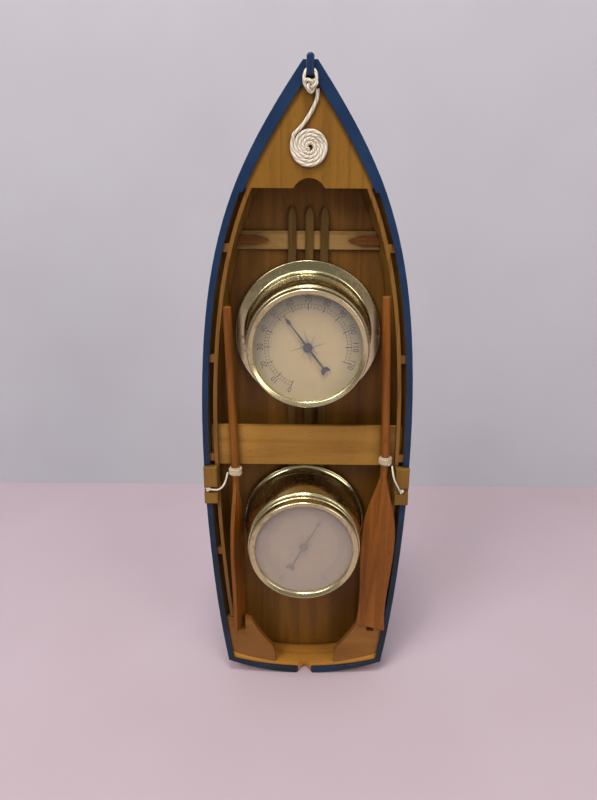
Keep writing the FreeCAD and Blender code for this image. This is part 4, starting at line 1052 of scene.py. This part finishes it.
@dataclass(frozen=True)
class Painter:
    """The boat's painter: cotton line hitched round the stem head, that runs down to a flat coil."""

    radius: float = 1.6
    lay_mm: float = 5.0
    deck: float = 37.7
    coil_z: float = 28.3
    coil_out: float = 15.7
    coil_in: float = 1.8
    coil_start: float = 152.0
    knot_z: float = 75.6
    per_turn: int = 14

    def control_points(self) -> Array:
        """Lists the line's points down the deck, then its turns.

        A turn's point at angle a stands at the coil's middle + r (cos a, sin a), where r shrinks by one
        diameter in each turn.

        Returns:
            N x 3 control points.
        """
        d = self.deck
        line = route([(6.0, d + 1.8, 72.5), (6.2, d + 0.6, 67.0), (4.2, d, 61.5), (0.8, d, 55.0),
                      (-3.4, d, 48.6), (-8.4, d, 42.6), (-13.6, d, 38.2)])
        turns = (self.coil_out - self.coil_in) / (2 * self.radius)
        s = np.linspace(0.0, 1.0, int(turns * self.per_turn) + 1)
        a = np.radians(self.coil_start) + 2 * np.pi * turns * s
        r = self.coil_out + (self.coil_in - self.coil_out) * s + 0.12 * np.sin(3.1 * a)
        flat = self.deck + 0.12 * np.sin(5.3 * a)
        coil = np.column_stack([r * np.cos(a), -flat, self.coil_z + r * np.sin(a)]) * MM
        return np.vstack([line, coil])

    def hitch(self, finish: Any) -> Any:
        """Makes the hitch: a bight round the stem head and the knot drawn up against it.

        The bight is an ellipse round the stem head that dips to the deck at its foot.

        Args:
            finish: The material.

        Returns:
            The hitch's object.
        """
        lo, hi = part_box("painter_knot")
        rope = ThreadMesh(1.35 * MM, 12)
        t = np.linspace(0.0, 2 * np.pi, 72, endpoint=False)
        across, along = 5.1 * MM, 7.6 * MM
        middle = hi.z - along + 2.2 * MM
        height = lo.y * 0.5 + hi.y * 0.5
        bight = np.column_stack([across * np.sign(np.cos(t)) * np.abs(np.cos(t)) ** 0.8,
                                 height - 0.9 * MM * np.cos(2 * t), middle + along * np.sin(t)])
        rope.lay(bight, closed=True)
        rope.lay(trefoil((0.4 * MM, height - 0.5 * MM, self.knot_z * MM - 0.5 * MM), 5.2 * MM), closed=True)
        made = piece("painter_hitch", rope.data("painter_hitch"), "boat", finish)
        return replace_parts(made, "painter_knot")

    def build(self) -> None:
        """Makes the line with its coil, and the hitch at its head."""
        points = self.control_points()
        length = float(np.linalg.norm(np.diff(points, axis=0), axis=1).sum())
        laid = TwistedCotton("laid_cotton_line", "E9E1CF", "B9AB92", length / (self.lay_mm * MM)).material()
        line = smooth_cord("painter", points, self.radius * MM, laid)
        hitch = self.hitch(TwistedCotton("laid_cotton_hitch", "E9E1CF", "B9AB92", per_metre(self.lay_mm)).material())
        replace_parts(line, "painter_line", "painter_coil")


@dataclass(frozen=True)
class Lanyard:
    """Cotton thread from an oar's collar over its rowlock, with a stopper knot at its end."""

    side: str
    points: tuple[Point, ...]
    radius: float = 0.9
    knot: float = 2.0

    def build(self) -> None:
        """Makes the thread and its knot."""
        places = route(self.points)
        length = float(np.linalg.norm(np.diff(places, axis=0), axis=1).sum())
        finish = TwistedCotton(self.side + "_lanyard_thread", "E6DECC", "B3A78F", length / (2.6 * MM)).material()
        name = self.side + "_lanyard"
        line = smooth_cord(name + "_thread", places, self.radius * MM, finish)
        rope = ThreadMesh(0.75 * MM, 10)
        rope.lay(trefoil(tuple(places[-1]), self.knot * MM, 72), closed=True)
        tied = TwistedCotton(self.side + "_lanyard_knot_thread", "E6DECC", "B3A78F", per_metre(2.6)).material()
        knot = piece(name + "_knot", rope.data(name + "_knot"), "boat", tied)
        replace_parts(line, name)


@dataclass(frozen=True)
class ThreadCollar:
    """Two layers of cotton thread wound round an oar's shaft where it lies in its rowlock."""

    side: str
    lean: Point
    shaft: float = 4.0
    thread: float = 0.68

    def build(self) -> None:
        """Winds the collar.

        A layer's centre line at turn a stands at radius R from the shaft's axis and pitch a / 2 pi along it;
        the outer layer lies in the valleys of the inner one and is one turn shorter at each end.
        """
        node = self.side + "_oar_collar"
        lo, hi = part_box(node)
        middle = np.array((lo + hi) / 2)
        axis = np.array(self.lean) / np.linalg.norm(self.lean)
        u = np.cross(axis, (0.0, 1.0, 0.0))
        u /= np.linalg.norm(u)
        v = np.cross(axis, u)
        long = (hi.z - lo.z) / MM
        pitch = 2.04 * self.thread
        rope = ThreadMesh(self.thread * MM, 8)
        for radius, turns in ((self.shaft + self.thread, long / pitch - 1.4),
                              (self.shaft + 2.75 * self.thread, long / pitch - 2.9)):
            a = np.linspace(-np.pi * turns, np.pi * turns, int(turns * 30))
            r = radius + 0.07 * np.sin(a * 0.37) + 0.05 * np.sin(a * 2.3)
            s = pitch * a / (2 * np.pi)
            rope.lay(middle + MM * (r[:, None] * (np.cos(a)[:, None] * u + np.sin(a)[:, None] * v)
                                    + s[:, None] * axis))
        finish = TwistedCotton(node + "_thread", "DCC8AC", "A68C6C", per_metre(2.2)).material()
        made = piece(self.side + "_oar_whipping", rope.data(node), self.side + "_oar_body", finish)
        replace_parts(made, node)


# ---- instruments -------------------------------------------------------------------------------------


class DialPrint:
    """Flat printed marks on a dial, gathered into one mesh.

    A mark's own place (across, up) is turned clockwise by its angle from the top of the dial.
    """

    def __init__(self, centre: tuple[float, float], height: float) -> None:
        """Starts an empty print.

        Args:
            centre: The dial's middle in X and Z, in metres.
            height: The print's distance from the wall, in metres.
        """
        self.centre = centre
        self.height = height
        self.parts: list[tuple[Array, list]] = []

    def turned(self, flat: Array, angle: float) -> Array:
        """Turns places clockwise, onto the dial.

        Args:
            flat: Places as (across, up), in millimetres.
            angle: How far to turn them, in degrees.

        Returns:
            The same places on the dial, in metres.
        """
        a = math.radians(angle)
        x = flat[:, 0] * math.cos(a) + flat[:, 1] * math.sin(a)
        z = flat[:, 1] * math.cos(a) - flat[:, 0] * math.sin(a)
        return np.column_stack([self.centre[0] + x * MM, np.full(len(flat), -self.height), self.centre[1] + z * MM])

    def shape(self, outline: Sequence[tuple[float, float]], angle: float) -> None:
        """Adds one flat shape, its corners listed anticlockwise as it is seen."""
        points = self.turned(np.array(outline, float), angle)
        self.parts.append((points, [list(range(len(points)))]))

    def ticks(self, angles: Array, inner: float, outer: float, width: float) -> None:
        """Adds a radial tick at each angle.

        Args:
            angles: The ticks' angles, in degrees.
            inner: Their inner distance from the middle, in millimetres.
            outer: Their outer distance.
            width: How wide each is.
        """
        for angle in angles:
            w = width / 2
            self.shape([(-w, inner), (w, inner), (w, outer), (-w, outer)], float(angle))

    def arc(self, radius: float, width: float, start: float, stop: float, steps: int = 120) -> None:
        """Adds a band along part of a circle.

        Args:
            radius: The band's middle distance, in millimetres.
            width: How wide it is.
            start: Where it starts, in degrees.
            stop: Where it ends.
            steps: How many steps draw it.
        """
        a = np.radians(np.linspace(start, stop, steps))
        r = np.array([radius - width / 2, radius + width / 2])[:, None]
        flat = np.stack([r * np.sin(a), r * np.cos(a)], axis=-1).reshape(-1, 2)
        self.parts.append((self.turned(flat, 0.0), grid_faces(2, steps, False, False)[:, ::-1].tolist()))

    def number(self, text: str, radius: float, high: float, angle: float) -> None:
        """Prints a number whose middle is at a distance from the dial's middle, its head outwards.

        Args:
            text: The digits.
            radius: Distance of its middle, in millimetres.
            high: Height of a digit, in millimetres.
            angle: Degrees clockwise from the top.
        """
        curve = bpy.data.curves.new("digits", "FONT")
        curve.body = text
        curve.size = 1.0
        curve.resolution_u = 3
        curve.align_x = "CENTER"
        maker = bpy.data.objects.new("digits", curve)
        bpy.context.scene.collection.objects.link(maker)
        data = bpy.data.meshes.new_from_object(maker)
        flat = np.array([v.co[:2] for v in data.vertices], float)
        faces = [list(p.vertices) for p in data.polygons]
        bpy.data.objects.remove(maker)
        bpy.data.curves.remove(curve)
        bpy.data.meshes.remove(data)
        flat *= high / float(np.ptp(flat[:, 1]))
        flat[:, 0] *= 0.86
        flat -= (flat.max(axis=0) + flat.min(axis=0)) / 2
        flat[:, 1] += radius
        points = self.turned(flat, angle)
        a, b, c = (points[[row[k] for row in faces]] for k in range(3))
        looks = np.einsum("ij,ij->i", np.cross(b - a, c - a), np.array([[0.0, -1.0, 0.0]] * len(a)))
        self.parts.append((points, [row if look > 0 else row[::-1] for row, look in zip(faces, looks)]))

    def build(self, name: str, finish: Any) -> Any:
        """Makes the print's mesh, riding on the boat."""
        points, faces = merged(self.parts)
        return mesh_piece(name, points, faces, "boat", finish, smooth=False)


class Scale(Enum):
    """What a dial reads: its numbers and the turn of each, in degrees clockwise from the top."""

    FAHRENHEIT = (tuple(str(n) for n in range(0, 130, 10)), -157.5, 22.5, 5)
    INCHES = (("28", "29", "30", "31"), -150.0, 100.0, 10)

    def majors(self) -> Array:
        """Angles of the numbers."""
        return self.value[1] + self.value[2] * np.arange(len(self.value[0]))

    def minors(self) -> Array:
        """Angles of all the small divisions, the numbers' own among them."""
        count = (len(self.value[0]) - 1) * self.value[3]
        return np.linspace(self.majors()[0], self.majors()[-1], count + 1)


@dataclass
class ShipsCase:
    """One instrument: spun brass case and bezel, glass, printed dial and pointer. Sizes in millimetres."""

    name: str
    scale: Scale
    glass: WindowGlass
    card_middle: str
    card_rim: str
    ink: PrintersInk
    faint_ink: PrintersInk
    opening_r: float
    shoulder_r: float = 58.0
    shoulder_low: float = 12.0
    shoulder_high: float = 48.0
    sheet: float = 1.2
    tick_out: float = 38.4
    tick_in: float = 35.0
    number_r: float = 42.2
    segments: int = 160
    ledge_depth: float = 8.0
    ledge_width: float = 5.0
    neck_long: float = 4.0
    neck_step: float = 0.6

    def __post_init__(self) -> None:
        """Takes the axis and the main sizes from the CAD nodes."""
        lo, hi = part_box(self.name + "_case")
        self.centre = ((lo.x + hi.x) / 2, (lo.z + hi.z) / 2)
        self.seat = -hi.y / MM
        self.front = -lo.y / MM
        self.flange_r = (hi.x - lo.x) / 2 / MM - 0.3
        lo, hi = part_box(self.name + "_bezel")
        self.bezel_r = (hi.x - lo.x) / 2 / MM - 0.2
        self.bezel_low, self.bezel_high = -hi.y / MM, -lo.y / MM
        self.drum_r = self.bezel_r - 1.8
        lo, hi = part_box(self.name + "_dial")
        self.dial_face = -lo.y / MM

    def brass(self) -> Any:
        """The case's metal, its spinning marks centred on the axis."""
        return SpunBrass(self.name + "_spun_brass", self.centre).material()

    def case(self, brass: Any) -> None:
        """Turns the case: a flat flange with a rolled edge, a bead and a bell-shaped drum.

        The bell is a quarter of an ellipse from the foot's radius to the drum's. The inside follows it one
        sheet away, with a ledge that carries the dial.

        Args:
            brass: The metal.
        """
        s, f, foot, drum = self.seat, self.flange_r, self.shoulder_r, self.drum_r
        low, deep = s + self.shoulder_low, self.shoulder_r - self.drum_r
        rise = self.shoulder_high - self.shoulder_low
        dome = [(drum + deep * math.cos(a), low + rise * math.sin(a), 0.0) for a in np.radians(np.arange(3, 91, 3))]
        neck, top = drum - self.neck_step, self.front - self.neck_long
        wall = neck - self.sheet
        ledge, hole = self.front - self.ledge_depth, wall - self.ledge_width
        outside = [(0, s, 0), (f, s, 0.3), (f + 0.3, s + 0.8, 0.5), (f - 0.3, s + 1.8, 0.5),
                   (foot + 2.4, s + 2.4, 1.2), (foot + 0.9, s + 3.4, 0.8), (foot + 0.3, s + 5.0, 1.0),
                   (foot, low - 1.6, 0.3), (foot + 0.7, low - 0.8, 0.5), (foot, low, 0.3), *dome,
                   (drum, top, 0.1), (neck, top, 0.1), (neck, self.front, 0.2)]
        inside = [(wall, self.front, 0.2), (wall, ledge + self.sheet, 0.3), (hole, ledge + self.sheet, 0.2),
                  (hole, ledge, 0.2), (drum - self.sheet, ledge, 0.3),
                  *[(r - self.sheet, h - 0.4, 0.0) for r, h, _ in reversed(dome)],
                  (foot - self.sheet, low, 0.5), (foot - self.sheet, s + self.sheet, 0.4), (0, s + self.sheet, 0)]
        points, faces = lathe(eased(outside + inside, 5), self.centre, self.segments)
        made = mesh_piece(self.name + "_spun_case", points, faces, "boat", brass)
        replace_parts(made, self.name + "_case")

    def bezel(self, brass: Any) -> None:
        """Turns the bezel: a bead at its foot, a short side and a broad face that falls in towards the glass.

        Args:
            brass: The metal.
        """
        b, low, rim, hole = self.bezel_r, self.bezel_low, self.bezel_high, self.opening_r
        over = self.front + 2.15
        bore, step = self.drum_r - 0.55, self.front - 3.95
        corners = [(hole, over, 0.2), (hole, rim - 3.0, 0.8), (hole + 0.9, rim - 1.5, 0.5), (b - 2.8, rim, 0.9),
                   (b - 1.9, rim - 0.7, 0.5), (b - 1.2, rim - 2.5, 0.8), (b - 0.9, low + 2.4, 0.4),
                   (b, low + 1.8, 0.5), (b + 0.2, low + 0.9, 0.5), (b, low, 0.2), (self.drum_r + 0.05, low, 0.1),
                   (self.drum_r + 0.05, step, 0.1), (bore, step, 0.1), (bore, over, 0.1)]
        start = (hole, (over + rim - 3.0) / 2, 0.0)
        points, faces = lathe(eased([start, *corners[1:], corners[0], start], 5)[:-1], self.centre, self.segments)
        made = mesh_piece(self.name + "_spun_bezel", points, faces, "boat", brass)
        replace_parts(made, self.name + "_bezel")

    def dial(self) -> None:
        """Dresses the card and prints its scale: two arcs, the divisions, the numbers and a small compass rose."""
        card = DialCard(self.name + "_dial_card", self.centre, self.card_middle, self.card_rim)
        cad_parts[self.name + "_dial"].data.materials.clear()
        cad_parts[self.name + "_dial"].data.materials.append(card.material())
        ink = DialPrint(self.centre, self.dial_face * MM + 0.05 * MM)
        majors, minors = self.scale.majors(), self.scale.minors()
        first, last = float(majors[0]), float(majors[-1])
        for radius in (self.tick_in, self.tick_out):
            ink.arc(radius, 0.28, first, last)
        ink.ticks(minors, self.tick_in, self.tick_out, 0.3)
        ink.ticks(majors, self.tick_in - 1.8, self.tick_out + 0.5, 0.75)
        for text, angle in zip(self.scale.value[0], majors):
            ink.number(text, self.number_r, 5.3, float(angle))
        ink.build(self.name + "_scale_print", self.ink.material())
        faint = DialPrint(self.centre, self.dial_face * MM + 0.04 * MM)
        for k in range(16):
            reach = (17.5, 9.0, 13.0, 9.0)[k % 4]
            waist = reach * 0.2
            faint.shape([(0.0, 0.0), (waist * 0.55, waist), (0.0, reach)], 22.5 * k - 14.0)
            faint.ticks(np.array([22.5 * k - 14.0]), waist, reach, 0.16)
        faint.arc(10.4, 0.2, 0.0, 360.0)
        faint.build(self.name + "_rose_print", self.faint_ink.material())

    def build(self) -> None:
        """Builds the instrument's shown pieces and dresses its glass."""
        brass = self.brass()
        self.case(brass)
        self.bezel(brass)
        self.dial()
        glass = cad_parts[self.name + "_glass"].data
        glass.materials.clear()
        glass.materials.append(self.glass.material())
        LOG.info("%s: dial face %.1f mm from the wall", self.name, self.dial_face)


# ---- the boat ----------------------------------------------------------------------------------------


class BoatFinish(Enum):
    """Each finish of the boat and of the works, and the CAD nodes that wear it."""

    ENAMEL = ("port_capping", "starboard_capping", "stern_capping", "stem_post")
    PLANK = ("port_side", "starboard_side")
    DECK = ("foredeck",)
    THWART = ("middle_thwart",)
    CROSS = ("forward_cross_board",)
    TRANSOM = ("transom",)
    KNEE = ("port_knee", "starboard_knee")
    ROWLOCK = ("port_rowlock", "starboard_rowlock")
    INWALE = ("port_inwale", "starboard_inwale", "inwale_spacers")
    FLOOR = ("back_board",)
    SLAT = ("floor_slats",)
    CLEAT = ("foot_cleats",)
    PORT_OAR = ("port_oar",)
    STARBOARD_OAR = ("starboard_oar",)
    ZINC = ("wall_hanger", "hanger_screws", "thermometer_case_screws", "barometer_case_screws")
    WORKS = ("coil_bracket", "arbor_bridge", "movement_plate", "movement_pillars", "rocker_posts", "rocking_shaft",
             "spring_link", "capsule_nut", "setting_screw")
    SPRING = ("bimetal_coil", "main_spring", "hairspring", "drive_chain")
    NICKEL = ("aneroid_capsule",)
    BLUED = ("thermometer_pointer", "barometer_pointer", "thermometer_staff", "pointer_arbor")


def dress_boat() -> None:
    """Gives every CAD node that stays shown its finish."""
    enamel = BrushedEnamel("navy_brush_enamel", "0B2A4C", "101F2B", "16375A", "3A5874")
    inner = VarnishedWood("varnished_pine_planks", "80602A", "6A4A1E", "463010", seed=1.0)
    finishes = {
        BoatFinish.ENAMEL: enamel.material(),
        BoatFinish.PLANK: PaintedPlank("planks_enamel_outside", enamel, inner).material(),
        BoatFinish.DECK: VarnishedWood("varnished_pine_deck", "8E6422", "80591A", "684610", ring_mm=18.0,
                                       bands=4.0, seed=2.0).material(),
        BoatFinish.THWART: VarnishedWood("varnished_pine_thwart", "B2853A", "A07430", "805820", Grain.ACROSS,
                                         bands=4.0, seed=3.0).material(),
        BoatFinish.CROSS: VarnishedWood("varnished_pine_cross_board", "A48250", "8E6E3C", "6C5026", Grain.ACROSS,
                                        bands=4.0, seed=4.0).material(),
        BoatFinish.TRANSOM: VarnishedWood("varnished_pine_transom", "CA8E3C", "B87E32", "8C5A22", Grain.ACROSS,
                                          bands=4.0, seed=5.0).material(),
        BoatFinish.KNEE: VarnishedWood("varnished_pine_knees", "98682E", "885A26", "664216", Grain.ACROSS,
                                       bands=4.0, seed=13.0).material(),
        BoatFinish.ROWLOCK: VarnishedWood("varnished_pine_rowlocks", "8A662A", "78561E", "5A3E12",
                                          seed=6.0).material(),
        BoatFinish.INWALE: VarnishedWood("varnished_beech_inwales", "8C642A", "785220", "583A12", ring_mm=12.0,
                                         seed=7.0).material(),
        BoatFinish.FLOOR: VarnishedWood("stained_pine_floor", "80541C", "6E4916", "523610", ring_mm=20.0,
                                        bands=4.0, seed=8.0).material(),
        BoatFinish.SLAT: VarnishedWood("stained_pine_slats", "6C5020", "584018", "40300E", ring_mm=14.0,
                                       seed=9.0).material(),
        BoatFinish.CLEAT: VarnishedWood("stained_mahogany_cleats", "7C4E20", "683E14", "4C2C0C", Grain.ACROSS,
                                        ring_mm=12.0, seed=10.0).material(),
        # painted shade: the port oar wears a slightly darker copy of the oar wood, as it stands on its edge
        BoatFinish.PORT_OAR: VarnishedWood("stained_ramin_port_oar_shaded", "8C561C", "7A4712", "5A340C", ring_mm=9.0,
                                           bands=4.0, seed=11.0).material(),
        BoatFinish.STARBOARD_OAR: VarnishedWood("stained_ramin_starboard_oar", "905820", "7D4814", "5E360C",
                                                ring_mm=11.0, bands=4.0, seed=12.0).material(),
        BoatFinish.ZINC: MachinedMetal("zinc_plated_pressed_steel", "B4B6B8", "7C7C78").material(),
        BoatFinish.WORKS: MachinedMetal("turned_clock_brass", "CBA866", "8C7040").material(),
        BoatFinish.SPRING: MachinedMetal("tempered_spring_steel", "8E9298", "4E5054").material(),
        BoatFinish.NICKEL: MachinedMetal("nickel_plated_capsule", "C8C4B8", "8E8A80").material(),
        BoatFinish.BLUED: MachinedMetal("heat_blued_pointer_steel", "3C4A68", "2A3248", 0.38).material(),
    }
    for kind, material in finishes.items():
        for node in kind.value:
            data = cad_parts[node].data
            data.materials.clear()
            data.materials.append(material)
            LOG.info("%s wears %s", node, material.name)


def main() -> None:
    """Builds the studio, the cords, the instruments and the boat, in that order."""
    logging.basicConfig(level=logging.INFO, format="%(name)s: %(message)s")
    bpy.context.scene.view_settings.view_transform = "Standard"
    studio = Studio()
    studio.camera()
    Painter().build()
    Lanyard("port", ((-77.9, 35.2, -272.5), (-78.8, 38.0, -276.8), (-80.2, 41.4, -281.2), (-82.8, 43.6, -285.0),
                     (-87.0, 43.6, -287.8), (-92.0, 42.6, -288.0), (-97.0, 42.2, -287.7))).build()
    Lanyard("starboard", ((83.6, 40.0, -262.0), (83.8, 43.6, -266.4), (84.8, 45.6, -271.6), (86.8, 45.8, -276.8),
                          (89.4, 45.6, -281.6), (91.4, 44.0, -286.0), (93.6, 42.2, -288.4))).build()
    ThreadCollar("port", (0.0, 0.0, -1.0)).build()
    ThreadCollar("starboard", (-0.01, 0.0, -1.0)).build()
    black = PrintersInk("dial_ink_blue_black", "1E2A36", "3E4A56")
    faint = PrintersInk("rose_ink_faint_grey", "8E8C80", "A09A88")
    ShipsCase("thermometer", Scale.FAHRENHEIT, WindowGlass("clean_window_glass", 0.06, "C8C2B4", 0.01),
              "C2AE8A", "7A7E6E", black, faint, opening_r=47.4).build()
    ShipsCase("barometer", Scale.INCHES, WindowGlass("fogged_window_glass", 0.42, "A0948C", 0.02),
              "B8A28A", "8A8276", black, faint, opening_r=47.0).build()
    dress_boat()
    studio.stage()
    studio.light()


if __name__ == "__main__":
    main()
